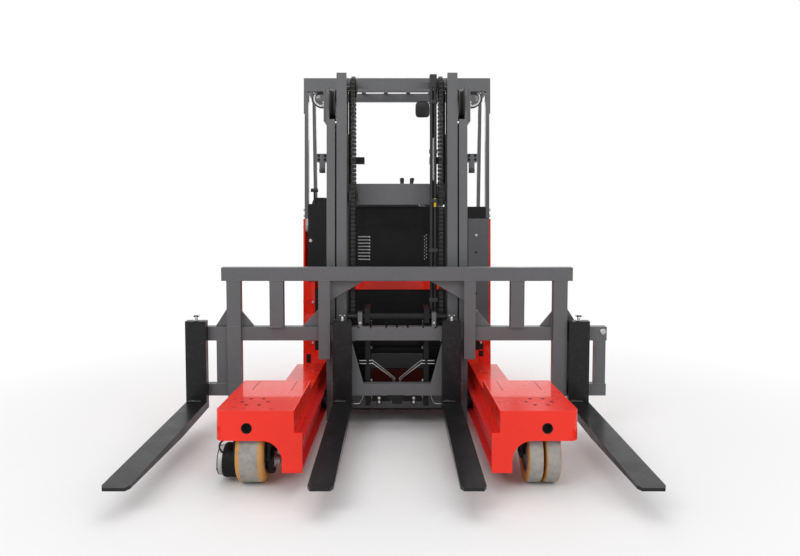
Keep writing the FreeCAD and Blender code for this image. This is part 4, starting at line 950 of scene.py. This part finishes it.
# Bolts on dark tabs under the sill bar
tabs = Shape()
bolts = Shape()
for x in (-106, 99):
    tabs.box((x - 15, x + 15), (BAR_FRONT - 3, BAR_FRONT + 3), (164, 217))
    for z in (202, 178):
        tabs.turn((x, BAR_FRONT - 3, z), FORE, [(0, 12), (2, 12), (3, 10)], 24)
        bolts.bolt((x, BAR_FRONT - 5.5, z), FORE, 8)
hung(tabs, "sill_tabs", "black_paint", "grey_paint", 1.5)
hung(bolts, "sill_tab_bolts", "bolt_zinc", "grey_paint")


# ------------------------------------------------------------ dash and console

FACE = 399.0
# Louvre lips and their end ticks in bright reflector metal on the black dash: a painted highlight
dash = Shape()
for k in range(8):
    z = 988 + 22 * k
    dash.plate([(FACE - 2.2, z + 1.5), (FACE - 2.6, z + 6), (FACE + 4, z + 9.5),
        (FACE + 4, z + 7)], "x", -265.5, -190.5)
    dash.box((-190.5, -184), (FACE - 2.2, FACE + 1), (z - 1, z + 9))
dash.done("dash_louvres", "lamp_reflector", "black_paint")
dots = Shape()
for row in range(8):
    for x, rise in ((188, 0), (201, 11), (226, 4)):
        dots.turn((x, FACE, 994 + 22 * row + rise), FORE, [(0, 3.6), (0.8, 3.3), (1.1, 1.6)], 8)
dots.done("dash_dot_grid", "lamp_reflector", "black_paint")
trim = Shape().border("y", 4, x=(-275, 262), y=(FACE - 3, FACE + 1), z=(880, 1210))
for x in (-250, -90, 90, 240):
    for z in (866, 1217):
        trim.screw((x, FACE, z), FORE, 5)
trim.done("dash_trim", "black_paint", "black_paint", 0.8)

# Cowl along the dash's top edge, cut slanting at its right end
cowl = Shape().plate([(-428, 1350), (158, 1350), (128, 1406), (118, 1410), (-420, 1410),
    (-428, 1404)], "y", 387.5, 396.5)
cowl.done("dash_cowl", "control_plastic", "black_paint", 3.0, 3)
cowl = Shape().plate([(160, 1350), (196, 1350), (152, 1409), (132, 1409)], "y", 389, 394)
cowl.done("dash_cowl_end", "grey_paint", "black_paint", 1.5)

# Bolts of the corner cover, near-black discs of painted shade for its holes, and a plug at the
# console's left end
fixings, hole_shade = Shape(), Shape()
for z in (1156, 640):
    fixings.bolt((538, 387, z), FORE, 9)
for z in (1041, 760):
    hole_shade.turn((538, 387, z), FORE, [(0, 7), (0.8, 7), (0.8, 0.5)], 20)
fixings.done("corner_cover_bolts", "bolt_zinc", "grey_paint")
hole_shade.done("corner_cover_holes", "dark_gap", "grey_paint")
left = touch("console", (-588, 0, 1120), AFT)
cap = Shape().turn(left, FORE, [(0, 11), (2, 11), (3.5, 9), (4, 0.5)], 28)
cap.done("console_plug", "pale_plastic", "black_paint")

# Steering wheel: hub cap, rubber boot and spinner knob
CONSOLE_TOP = 1353.0


def bellows(place, count, step, radius, dip, shrink):
    """A ribbed rubber boot standing on the console."""
    profile = []
    for k in range(count):
        profile += [(k * step, radius - shrink * k), ((k + 0.5) * step, radius - dip - shrink * k)]
    return Shape().turn((*place, CONSOLE_TOP), UP, profile, 32)


steer_x, steer_y, (_, wheel_top) = span("steering_wheel")
centre = middle_of(steer_x, steer_y)
hub = Shape().turn((*centre, wheel_top - 14), UP,
    [(0, 26), (8, 26), (13, 22), (15, 14), (15.5, 0.5)], 32)
for a, b in circle(3, 18, 90):
    hub.screw((centre[0] + a, centre[1] + b, wheel_top - 3), UP, 3)
hub.done("steering_hub_cap", "control_plastic", "control_plastic")
boot = bellows(centre, 6, 5.4, 24, 4, 0.8)
boot.done("steering_boot", "hose_rubber", "control_plastic")
knob = Shape()
place = (centre[0] + 66 * math.cos(0.7), centre[1] + 66 * math.sin(0.7), wheel_top - 9)
knob.turn(place, UP, [(0, 6), (8, 6), (10, 14), (16, 19), (24, 20), (32, 17), (36, 9), (37, 0.5)],
    28)
knob.done("steering_spinner", "control_plastic", "control_plastic")

# Levers: bellows at the foot and shaped grips at the top
_, lever_y, lever_z = span("control_levers")
for k, lean in enumerate((0.0, 7.0)):
    x, y = 35 + 65 * k, sum(lever_y) / 2
    boot = bellows((x, y), 7, 6, 27, 5, 1.9)
    boot.done("lever_bellows_%d" % k, "hose_rubber", "control_plastic")
    rings = []
    for rise, wide, deep in ((0, 11.5, 11.5), (6, 12.5, 12.5), (22, 13.5, 13.5), (34, 15, 14),
            (44, 15.5, 14.5), (51, 13, 12.5), (54, 7, 7), (54.6, 1, 1)):
        off = lean * (rise / 54) ** 1.4
        rings.append([(x + off + wide * math.cos(t), y + deep * math.sin(t), lever_z[1] - 50
            + rise) for t in angles(24)])
    Shape().loops(rings).done("lever_grip_%d" % k, "control_plastic", "control_plastic")

# Stop button: ribbed head over a rubber collar
stop_x, stop_y, stop_z = span("stop_button")
middle = middle_of(stop_x, stop_y)
stop = Shape()
rings = []
for rise, size in ((-22, 24.2), (-20, 25.2), (-5, 25.2), (0, 22), (2, 12), (2.4, 1)):
    ribbed = [size + (0.8 if k % 4 < 2 and size > 24 else 0) for k in range(64)]
    rings.append([(middle[0] + r * math.cos(t), middle[1] + r * math.sin(t), stop_z[1] + rise - 1)
        for r, t in zip(ribbed, angles(64))])
stop.loops(rings)
stop.done("stop_button_head", "control_plastic", "control_plastic", angle=50)
collar = Shape().turn((*middle, 1371), UP,
    [(0, 19), (4, 19), (6, 16), (20, 14), (22, 11), (30, 9.4)], 32)
collar.done("stop_button_collar", "hose_rubber", "control_plastic")

# Display: bezel, screen and keys towards the driver
show_x, show_y, show_z = span("display")
bezel = Shape().plate([(show_x[0] - 1, show_z[0] + 2), (show_x[1] + 1, show_z[0] + 2),
    (show_x[1] + 1, show_z[1] + 1), (show_x[0] - 1, show_z[1] + 1)], "y", show_y[1] - 6,
    show_y[1] + 1.5)
bezel.done("display_bezel", "control_plastic", "control_plastic", 3.0, 3)
screen = Shape().box((show_x[0] + 9, show_x[1] - 42), (show_y[1] + 1, show_y[1] + 2.2),
    (show_z[0] + 11, show_z[1] - 8))
screen.done("display_screen", "screen_glass", "control_plastic", 0.8)
keys = Shape()
for column in range(2):
    for row in range(3):
        x = show_x[1] - 27 + 14 * column
        z = show_z[0] + 14 + 15 * row
        keys.box((x - 5, x + 5), (show_y[1] + 1, show_y[1] + 3.5), (z - 4.5, z + 4.5))
keys.done("display_keys", "pale_plastic", "control_plastic", 1.2)

# Corner plates under the cross tube: ring-shaped seams in the painted-shade red, bolts, and slots
# drawn as near-black boxes of painted shade
discs = Shape()
for side in SIDES:
    for z in (696, 420):
        discs.turn((side * 592, FACE, z), FORE, [(0, 20), (0.7, 20), (0.7, 18), (0, 18)], 36,
            capped=False)
discs.done("corner_rings", "shade_red", "red_paint")
corner_bolts = Shape()
for z in (696, 420):
    for x in (-573, 573):
        corner_bolts.bolt((x, FACE, z + 2), FORE, 8)
corner_bolts.done("corner_bolts", "bolt_zinc", "red_paint")
# The slots are near-black boxes on the frame: painted shade for the openings
slot_shade = Shape()
for x, wide, low, high in ((-603, 30, 286, 345), (573, 30, 378, 428), (573, 30, 330, 368)):
    place = touch("chassis_frame", (x, 0, (low + high) / 2), AFT) or Vector((x, FACE, low))
    slot_shade.box((x - wide / 2, x + wide / 2), (place.y - 2.5, place.y + 1), (low, high))
slot_shade.done("corner_slots", "dark_gap", "red_paint", 1.0)
face = touch("chassis_frame", (-560, 0, 230), AFT)
corner_bolts = Shape().bolt((-600, face.y - 2, 214), FORE, 8).bolt((-556, face.y, 220), FORE, 11)
corner_bolts.done("frame_bolts", "bolt_zinc", "red_paint")

# Grey and red plates behind the tilt pipes, on the reach carriage; the red one is darkened as
# painted shade
for name, look, front, low, high in (("grey", "grey_paint", 334, 262, 362),
        ("red", "shade_red", 333, 150, 256)):
    plate = Shape().box((-200, 200), (front, 339), (low, high))
    plate.done("carriage_%s_plate" % name, look, "black_paint", 2.0, body="reach")

# ------------------------------------------------------- guard, lamps and mirror

LAMP_X, LAMP_Y, LAMP_Z = 519.0, 439.0, 2100.0
for side, name in SIDE_NAMES.items():
    x, y, z = side * LAMP_X, LAMP_Y, LAMP_Z
    lens = Shape().turn((x, y + 8, z), FORE,
        [(0, 46), (4, 46), (7, 40), (9.5, 27), (10.5, 12), (10.8, 0.5)], 40)
    lens.done("lamp_lens_" + name, "lamp_lens", "lamp_body")
    ring = Shape()
    for k in range(24):
        t0, t1 = (2 * math.pi * (k + shift) / 24 for shift in (0.06, 0.94))
        ring.loops([[(x + r * math.cos(t), y + off, z + r * math.sin(t))
            for r, off in ((46, 6), (47, 0.5), (57, 0.5), (58, 6))]
            for t in (t0, (t0 + t1) / 2, t1)])
    ring.done("lamp_ring_" + name, "lamp_reflector", "lamp_body")
    screws = Shape()
    for a, b in circle(4, 61, 45):
        screws.screw((x + a, y, z + b), FORE, 3)
    screws.done("lamp_screws_" + name, "lamp_body", "lamp_body")
    Shape().bolt((x, 462, z + 76), UP, 9).done("lamp_bolt_" + name, "bolt_zinc", "lamp_body")
    lead = Shape().tube([(x, 496, z - 4), (x, 512, z + 4), (x - side * 14, 518, z + 40),
        (x - side * 26, 512, z + 90), (x - side * 30, 505, z + 128)], 4, 8)
    lead.done("lamp_lead_" + name, "hose_rubber", "lamp_body")

mir_x, mir_y, mir_z = span("mirror")
outline = [tuple(abs(part) ** 0.45 * math.copysign(1, part) for part in (math.cos(t), math.sin(t)))
    for t in angles(32)]
half_w, half_h = (mir_x[1] - mir_x[0]) / 2, (mir_z[1] - mir_z[0]) / 2
mx, mz = middle_of(mir_x, mir_z)
rings = []
for y, scale in ((mir_y[0], 0.82), (mir_y[0] + 2.5, 0.9), (mir_y[0] + 8, 0.97),
        (mir_y[0] + 16, 1.0), (mir_y[1] - 3, 1.0), (mir_y[1], 0.97), (mir_y[1], 0.9),
        (mir_y[1] - 3, 0.88)):
    rings.append([(mx + half_w * a * scale, y, mz + half_h * b * scale) for a, b in outline])
shell = Shape().loops(rings)
shell = shell.done("mirror_case", "mirror_shell", "mirror_shell", angle=50)
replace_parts(shell, "mirror")
glass_piece = Shape().loops([[(mx + half_w * a * 0.89, y, mz + half_h * b * 0.89)
    for a, b in outline] for y in (mir_y[1] - 2.8, mir_y[1] - 1.2)])
glass_piece.done("mirror_glass", "mirror_glass", "mirror_shell")

guard_y = span("overhead_guard")[1]
welds = Shape()
for k in range(6):
    x = -412.5 + 165 * k
    for edge in (x - 15, x + 15):
        for y in (guard_y[0] + 41, guard_y[1] - 41):
            welds.bead((edge, y, 2212), (edge, y, 2229), 2.4)
for side in SIDES:
    welds.bead((side * 604, 400, 2137), (side * 604, 438, 2137), 3.2)
    welds.bead((side * 606, 399.5, 2137), (side * 634, 399.5, 2137), 2.8)
welds.done("guard_welds", "weld_bead", "grey_paint")
bolts = Shape()
for side in SIDES:
    for y, rows in ((420, (1292, 1332)), (905, (1205, 1245))):
        for z in rows:
            bolts.bolt(touch("guard_pillars", (side * 800, y, z), (-side, 0, 0)), (side, 0, 0), 12)
bolts.done("guard_bolts", "bolt_zinc", "grey_paint")

# ---------------------------------------------------------------- floor mat

mat_x, mat_y, mat_z = span("operator_floor")
studs = Shape()
for i in range(40):
    for j in range(13):
        x = mat_x[0] + 22 + i * (mat_x[1] - mat_x[0] - 44) / 39
        y = mat_y[0] + 18 + j * (mat_y[1] - mat_y[0] - 36) / 12 + (8 if i % 2 else 0)
        if y < mat_y[1] - 12:
            studs.turn((x, y, mat_z[1]), UP, [(0, 7), (1.6, 6.2), (2, 4)], 8)
studs.done("mat_studs", "floor_rubber", "floor_rubber")
pedal = Shape().box((-300, -170), (500, 620), (385, 400))
pedal.done("presence_pedal", "floor_rubber", "floor_rubber", 5.0, 3)
ribs = Shape()
for k in range(9):
    ribs.rod((-296 + k * 15.2, 510, 400), (-296 + k * 15.2, 610, 400), 2.6, 8)
ribs.done("pedal_ribs", "hose_rubber", "floor_rubber")


# ---------------------------------------------------------- rear hood and sides

hood_x, hood_y, hood_z = span("rear_hood")
WIDE, BACK, FRONT_Y = hood_x[1], hood_y[1], hood_y[0]
ROUND = 75.0
SKIN_SIDE, SKIN_BACK = 9.0, 12.0


def corner_path(wide, back, radius, start, steps=10):
    """The right half of the hood's plan: from its middle round the corner, then forward."""
    path = [(start, back), (wide - radius, back)]
    for k in range(1, steps):
        t = math.pi / 2 * k / steps
        path.append((wide - radius + radius * math.sin(t), back - radius + radius * math.cos(t)))
    return path + [(wide, back - radius)]


def hood_plan(wide, back, radius):
    right = corner_path(wide, back, radius, 0.0) + [(wide, FRONT_Y)]
    return right + [(-x, y) for x, y in reversed(right[1:])]


def hood_band(low, high):
    """A raised band right round the hood between two heights."""
    band = Shape()
    outer = corner_path(WIDE, BACK, ROUND, 0.0) + [(WIDE, FRONT_Y)]
    inner = corner_path(WIDE - SKIN_SIDE, BACK - SKIN_BACK, ROUND - 6,
        0.0) + [(WIDE - SKIN_SIDE, FRONT_Y)]
    outline = [(-x, y) for x, y in reversed(outer[1:])] + outer
    back_way = list(reversed(inner)) + [(-x, y) for x, y in inner[1:]]
    band.plate(outline + back_way, "z", low, high)
    return band


hood = Shape().plate(hood_plan(WIDE - 4, BACK - 7, ROUND - 4), "z", hood_z[0], hood_z[1] - 1)
hood_piece = hood.done("hood_shell", "red_paint", "red_paint", 2.0)
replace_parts(hood_piece, "rear_hood")
for name, low, high in (("low", hood_z[0], 436), ("top", 1092, hood_z[1])):
    hood_band(low, high).done("hood_band_" + name, "red_paint", "red_paint", 2.5, 3)
for side, name in SIDE_NAMES.items():
    post = Shape()
    outer = corner_path(WIDE, BACK, ROUND, 548) + [(WIDE, BACK - 150)]
    inner = corner_path(WIDE - SKIN_SIDE, BACK - SKIN_BACK, ROUND - 6,
        548) + [(WIDE - SKIN_SIDE, BACK - 150)]
    post.plate([(side * x, y) for x, y in outer + list(reversed(inner))], "z", 434, 1094)
    post.box(flip(side, WIDE - SKIN_SIDE, WIDE), (FRONT_Y, FRONT_Y + 46), (434, 1094))
    post.done("hood_posts_" + name, "red_paint", "red_paint", 2.5, 3)

# Rear door: louvres over near-black throats of painted shade, lamps, seams, latches, bolts and
# pulls
door_y = BACK - 7
REAR_LAMP_X = 468.0


def louvre(shape, stations, section, place):
    """One pressed louvre: its section rises from the sheet near both ends."""
    shape.loops([[place(station, out * grow if out > 0 else out, up) for out, up in section]
        for station, grow in zip(stations, (0.0, 1.0, 1.0, 0.0))])


for side, name in SIDE_NAMES.items():
    throat_shade = Shape()
    louvres = Shape()
    for k in range(10):
        z = 520 + 34 * k
        throat_shade.box(flip(side, 66, 254), (door_y - 1, door_y + 0.8), (z, z + 12))
        louvre(louvres, (60, 68, 252, 260), ((-1, 20), (5.8, 13), (6.4, 9), (4.6, 9), (-1, 16)),
            lambda x, out, up: (side * x, door_y + out, z + up))
    throat_shade.done("hood_throat_shade_" + name, "dark_gap", "red_paint")
    louvres.done("hood_louvres_" + name, "red_paint", "red_paint", angle=40)
    lamp = Shape()
    for z, rim in ((1010, [(0, 47), (5, 47), (7.4, 44), (7.4, 39), (4, 38)]),
            (890, [(0, 38), (5, 38), (7.4, 35), (7.4, 31), (4, 30)])):
        lamp.turn((side * REAR_LAMP_X, door_y - 1, z), AFT, rim, 40, capped=False)
    lamp.done("rear_lamp_rims_" + name, "lamp_body", "lamp_body")
    for z, size, look in ((1010, 39, "lamp_red"), (890, 31, "lamp_amber")):
        lens = Shape().turn((side * REAR_LAMP_X, door_y, z), AFT,
            [(0, size), (3.4, size), (5, size * 0.8), (5.8, size * 0.45), (6, 0.5)], 36)
        lens.done("rear_%s_%s" % (look, name), look, "lamp_body")
door = Shape().border("y", 4, x=(-540, 540), y=(door_y - 1, door_y + 0.7), z=(440, 1088))
door.box((-2, 2), (door_y - 1, door_y + 0.7), (440, 1088))
door.done("hood_door_seams", "dark_gap", "red_paint")
fixings = Shape()
for side in SIDES:
    for z in (470, 700, 1060):
        fixings.turn((side * 520, door_y, z), AFT, [(0, 11), (3, 11), (5, 9), (6, 6)], 24)
        fixings.box((side * 520 - 8, side * 520 + 8), (door_y + 5, door_y + 6.6),
            (z - 1.6, z + 1.6))
    for x in (30, 300, 440):
        for z in (456, 1072):
            fixings.turn((side * x, door_y, z), AFT,
                [(0, 9), (3, 9), (5.4, 7), (5.4, 4), (3, 3.6)], 6)
fixings.done("hood_door_fixings", "bolt_zinc", "red_paint")
pull = Shape()
for side in SIDES:
    pull.box(flip(side, 22, 40), (door_y - 1, door_y + 5.5), (900, 1010))
    pull.box(flip(side, 25, 37), (door_y + 4, door_y + 6.5), (908, 1002))
pull.done("hood_door_pulls", "control_plastic", "control_plastic", 2.0, 3)

# Side doors of the hood: seams, near-black strips of painted shade under the louvres, louvres,
# hinges and catches
for side, name in SIDE_NAMES.items():
    flat = side * (WIDE - 4)
    out = (side, 0, 0)
    seams = Shape()
    skin = sorted((flat - side, flat + side * 0.8))
    seams.border("x", 4, x=skin, y=(915, 1116), z=(450, 1078))
    # Near-black strips under each louvre: painted shade
    for k in range(8):
        seams.box(skin, (950, 1080), (520 + 24 * k, 530 + 24 * k))
    seams.done("hood_side_seams_and_louvre_shade_" + name, "dark_gap", "red_paint")
    lips = Shape()
    for k in range(8):
        z = 530 + 24 * k
        louvre(lips, (946, 953, 1077, 1084), ((-1, 8), (6, 2), (6.5, -2), (4.5, -2), (-1, 4)),
            lambda y, out, up: (flat + side * out, y, z + up))
    lips.done("hood_side_louvres_" + name, "red_paint", "red_paint", angle=40)
    metal = Shape()
    for z in (560, 760, 960):
        metal.rod((flat + side * 5, 1123, z - 32), (flat + side * 5, 1123, z + 32), 6.5, 16, 1.0)
        metal.box(sorted((flat - side, flat + side * 3)), (1096, 1124), (z - 28, z + 28))
        for rise in (-16, 16):
            metal.screw((flat + side * 3, 1105, z + rise), out, 4.5)
    metal.done("hood_side_hinges_" + name, "bolt_zinc", "red_paint", 1.0)
    catch = Shape()
    for z in (640, 880):
        catch.box(sorted((flat - side, flat + side * 4)), (886, 938), (z - 22, z + 22))
        catch.turn((flat + side * 3, 912, z), out, [(0, 16), (4, 16), (6, 13), (9, 12), (10, 9)],
            28)
        catch.box(sorted((flat + side * 10, flat + side * 17)), (908, 916), (z - 15, z + 15))
    catch.done("hood_side_catches_" + name, "control_plastic", "control_plastic", 1.6, 3)

# Lid: pull handle, hinges, lifting eyes, seams, near-black vent slits of painted shade, vent frames
# and the battery plug
top = span("hood_lid")[2][1]
handle = Shape()
for side in SIDES:
    handle.turn((side * 90, 905, top), UP, [(0, 15), (4, 15), (6, 9), (20, 8)], 20)
handle.tube([(-90, 905, top + 14), (-88, 905, top + 32), (-70, 905, top + 42), (0, 905, top + 44),
    (70, 905, top + 42), (88, 905, top + 32), (90, 905, top + 14)], 9, 14)
handle.done("lid_handle", "control_plastic", "black_paint")
metal = Shape()
for side in SIDES:
    for x in (330, 470):
        metal.rod((side * x - 34, 1252, top + 6), (side * x + 34, 1252, top + 6), 7, 16, 1.0)
        metal.box((side * x - 30, side * x + 30), (1210, 1252), (top - 1, top + 3))
        for off in (-16, 16):
            metal.screw((side * x + off, 1224, top + 3), UP, 5)
    metal.turn((side * 560, 960, top), UP, [(0, 19), (6, 19), (9, 15), (9, 9)], 28)
    metal.ring((side * 560, 960, top + 27), RIGHT, 17, 5.5, 36, 12)
metal.done("lid_hinges_and_eyes", "bolt_zinc", "black_paint", 0.8)
seam = Shape().border("z", 4, x=(-600, 600), y=(930, 1200), z=(top - 1, top + 0.7))
# Near-black slits inside the vent frames: painted shade
for k in range(14):
    for side in SIDES:
        seam.box(flip(side, 180, 300), (990 + 12 * k, 995 + 12 * k), (top - 1, top + 0.8))
seam.done("lid_seams", "dark_gap", "black_paint")
ribs = Shape()
for side in SIDES:
    ribs.border("z", 10, x=flip(side, 166, 314), y=(976, 1174), z=(top - 1, top + 5))
ribs.done("lid_vent_frames", "black_paint", "black_paint", 1.6)
plug = Shape().box((-52, 52), (1046, 1114), (top - 1, top + 26))
plug.box((-40, 40), (1056, 1104), (top + 26, top + 34))
plug.done("battery_plug_socket", "control_plastic", "black_paint", 4.0, 3)
plug = Shape().rod((-36, 1080, top + 52), (36, 1080, top + 52), 8, 16, 3)
for x in (-32, 32):
    plug.rod((x, 1080, top + 30), (x, 1080, top + 52), 6, 12)
plug.done("battery_plug_grip", "hazard_red", "black_paint")

# Left side panel, frame skirt with tie slots drawn as near-black boxes of painted shade, entry bar,
# step edge and paper clip
seams = Shape()
bolts = Shape()
panel_x, panel_y, _ = span("side_panel_left")
flat = panel_x[0]
inside = (panel_y[0] + 26, panel_y[1] - 26)
seams.border("x", 4, x=(flat - 0.8, flat + 1), y=inside, z=(400, 1244))
seams.box((flat - 0.8, flat + 1), inside, (820, 824))
for z in (430, 700, 850, 1215):
    for y in (panel_y[0] + 46, panel_y[1] - 48):
        bolts.bolt((flat, y, z), (-1, 0, 0), 9)
SKIRT = 640.0
for side in SIDES:
    for y in (470, 780, 1000, 1180):
        bolts.bolt((side * SKIRT, y, 352), (side, 0, 0), 10)
seams.done("side_panel_seams", "dark_gap", "red_paint")
bolts.done("side_bolts", "bolt_zinc", "red_paint")
slot_shade, rims = Shape(), Shape()
for side in SIDES:
    for y in (560, 1100):
        slot_shade.box(flip(side, SKIRT - 1, SKIRT + 0.8), (y, y + 90), (232, 262))
        for ends, heights in (((y - 10, y + 100), (222, 232)), ((y - 10, y + 100), (262, 272)),
                ((y - 10, y), (232, 262)), ((y + 90, y + 100), (232, 262))):
            rims.box(flip(side, SKIRT - 1, SKIRT + 4), ends, heights)
slot_shade.done("frame_tie_slots", "dark_gap", "red_paint")
rims.done("frame_slot_rims", "red_paint", "red_paint", 1.5)
grab = Shape().tube([(626 - 2, 427, 1180), (592, 427, 1180), (582, 427, 1170), (582, 427, 860),
    (592, 427, 850), (626 - 2, 427, 850)], 11, 14, 5)
for z in (1180, 850):
    grab.turn((626, 427, z), (-1, 0, 0), [(0, 24), (5, 24), (7, 21), (7, 12)], 28)
grab.done("entry_grab_bar", "black_paint", "black_paint")
step = Shape().box((612, 642.5), (458, 852), (384, 388)).box((640, 643), (458, 852), (352, 388))
for k in range(24):
    step.box((614, 641), (466 + 16 * k, 472 + 16 * k), (388, 390))
step.done("entry_step_edge", "stop_yellow", "floor_rubber", 0.8)
holder = Shape().plate([(-600, 1100), (-480, 1100), (-480, 1190), (-600, 1170)], "y", 549, 553)
holder.done("paper_clip", "control_plastic", "control_plastic", 1.0)


# ------------------------------------------------------------------ back cushion

PAD_VOXEL, PAD_CAP, PAD_SEAM = 0.006, 0.022, 0.36     # m, m, share of the half width
PAD_FRAMES = 20
pad_x, pad_y, pad_z = span("back_pad")


def evaluated(obj):
    """A new mesh: the object's own as its modifiers leave it."""
    graph = bpy.context.evaluated_depsgraph_get()
    return bpy.data.meshes.new_from_object(obj.evaluated_get(graph))


def stuffed(obj, held):
    """Swells a mesh as cloth under pressure; the held points stay. The result is applied."""
    cloth = obj.modifiers.new("Cloth", "CLOTH")
    group = obj.vertex_groups.new(name="held")
    group.add(held, 1.0, "REPLACE")
    settings = cloth.settings
    settings.vertex_group_mass = group.name
    settings.use_pressure = True
    settings.uniform_pressure_force = 4.0
    settings.effector_weights.gravity = 0.0
    cloth.point_cache.frame_start, cloth.point_cache.frame_end = 1, PAD_FRAMES
    scene = bpy.context.scene
    start = [v.co.copy() for v in obj.data.vertices]
    for moment in range(1, PAD_FRAMES + 1):
        scene.frame_set(moment)
    swollen = evaluated(obj)
    moved = []
    for before, vertex in zip(start, swollen.vertices):
        way = vertex.co - before
        moved.append(before + way * min(1.0, PAD_CAP / max(way.length, 1e-9)))
    obj.modifiers.clear()
    scene.frame_set(1)
    for vertex, place in zip(obj.data.vertices, moved):
        vertex.co = place


def cushion():
    """The back cushion: a stuffed cover over its board, swollen as cloth, then sewn in by hand."""
    half_wide, half_high = (pad_x[1] - pad_x[0]) / 2, (pad_z[1] - pad_z[0]) / 2
    middle = middle_of(pad_x, pad_z)
    face, board = pad_y
    deep = board - face
    block = Shape().box((pad_x[0] + 9, pad_x[1] - 9), (face + 0.42 * deep, board - 0.5),
        (pad_z[0] + 9, pad_z[1] - 9))
    pad = block.done("back_cushion", "pad_vinyl", "pad_vinyl", angle=60)
    remesh = pad.modifiers.new("Remesh", "REMESH")
    remesh.mode, remesh.voxel_size = "VOXEL", PAD_VOXEL
    solid = evaluated(pad)
    pad.modifiers.clear()
    pad.data = solid

    def seam_gap(co):
        return abs(abs(co.x / MM - middle[0]) - PAD_SEAM * half_wide)

    held = [v.index for v in solid.vertices if v.co.y / MM > board - 8
        or (seam_gap(v.co) < 4 and v.co.y / MM < board - 0.4 * deep)]
    stuffed(pad, held)
    fine = pad.modifiers.new("Subdivision", "SUBSURF")
    fine.levels = fine.render_levels = 1
    smooth = evaluated(pad)
    pad.modifiers.clear()
    pad.data = smooth
    for vertex in smooth.vertices:
        co = vertex.co / MM
        front = min(1.0, max(0.0, (board - co.y) / deep - 0.25) * 2)
        gap = seam_gap(vertex.co)
        tuck = 5.0 * math.exp(-(gap / 3.5) ** 2)
        height = (co.z - middle[1]) / half_high
        pull = 0.8 * math.sin(height * 21 + 2.4 * math.sin(co.x / 60)) * math.exp(-(gap / 26) ** 2)
        co.y += (tuck + pull) * front
        vertex.co = Vector([min(max(part, low), high)
            for part, (low, high) in zip(co, (pad_x, pad_y, pad_z))]) * MM
    smooth_by_angle(smooth, 60)
    return pad


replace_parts(cushion(), "back_pad")

# ------------------------------------------------------- camera, light, floor

SENSOR, FOCAL_PIXELS, IMAGE_WIDTH = 36.0, 627.0, 800.0
EYE_DISTANCE, EYE_HEIGHT = 2.855, 1.206               # m, from the legs' tips and the floor
leg_y = span("leg_left")[1]

camera = bpy.data.cameras.new("camera")
camera.sensor_width = SENSOR
camera.lens = SENSOR * FOCAL_PIXELS / IMAGE_WIDTH
camera.shift_x = 0.00375
camera.shift_y = -0.0625
camera.clip_end = 60.0
eye = bpy.data.objects.new("camera", camera)
eye.location = (0.0, leg_y[0] * MM - EYE_DISTANCE, EYE_HEIGHT)
eye.rotation_euler = (math.radians(90.0), 0.0, 0.0)
bpy.context.scene.collection.objects.link(eye)
bpy.context.scene.camera = eye
bpy.context.scene.view_settings.view_transform = "Standard"


def area(name, place, target, size, power):
    light = bpy.data.lights.new(name, "AREA")
    light.shape = "RECTANGLE"
    light.size, light.size_y = size
    light.energy = power
    lamp = bpy.data.objects.new(name, light)
    lamp.location = place
    lamp.rotation_euler = (Vector(target) - Vector(place)).to_track_quat("-Z", "Y").to_euler()
    bpy.context.scene.collection.objects.link(lamp)


area("key", (-3.2, -4.6, 4.4), (0.0, -0.3, 0.8), (3.2, 2.4), 105.0)
area("fill", (3.8, -4.2, 3.0), (0.0, -0.3, 0.8), (3.0, 3.0), 62.0)
area("top", (0.0, 0.2, 5.2), (0.0, 0.1, 0.0), (4.5, 4.5), 78.0)
area("back", (0.5, 4.8, 3.6), (0.0, 0.3, 1.0), (3.5, 2.5), 62.0)

world = bpy.data.worlds.new("studio")
bpy.context.scene.world = world
world.use_nodes = True
sky = Tree(world.node_tree)
rays = sky.add("ShaderNodeLightPath").outputs
shown = sky.combine("MAXIMUM", rays["Is Camera Ray"], rays["Is Transmission Ray"])
shown = sky.combine("MAXIMUM", shown, rays["Is Glossy Ray"])
level = sky.add("ShaderNodeMapRange", {"To Min": 0.55, "To Max": 1.0, "Value": shown})
background = world.node_tree.nodes["Background"]
sky.feed(background.inputs["Color"], (1.0, 1.0, 1.0, 1.0))
sky.feed(background.inputs["Strength"], level.outputs["Result"])

ground = Nodes("studio_floor")
ground.put({"Base Color": ground.mix(ground.noise(30.0, 4.0), (0.86, 0.86, 0.86), (0.9, 0.9, 0.9)),
    "Roughness": 0.7})
far = ground.add("ShaderNodeVectorMath", {0: ground.place}, operation="LENGTH").outputs["Value"]
fade = ground.add("ShaderNodeMapRange", {"From Min": 1.2, "From Max": 3.4, "Value": far})
camera_ray = ground.add("ShaderNodeLightPath").outputs["Is Camera Ray"]
glow = ground.add("ShaderNodeEmission", {"Strength": 1.0})
shown = ground.combine("MULTIPLY", fade.outputs["Result"], camera_ray)
blend = ground.add("ShaderNodeMixShader",
    {"Fac": shown, 1: ground.shader.outputs[0], 2: glow.outputs[0]})
ground.feed(ground.tree.nodes["Material Output"].inputs["Surface"], blend.outputs[0])
bm = bmesh.new()
bmesh.ops.create_circle(bm, cap_ends=True, segments=64, radius=30.0)
plane = bpy.data.meshes.new("studio_floor")
bm.to_mesh(plane)
bm.free()
plane.materials.append(ground.material)
floor = bpy.data.objects.new("studio_floor", plane)
bpy.context.scene.collection.objects.link(floor)
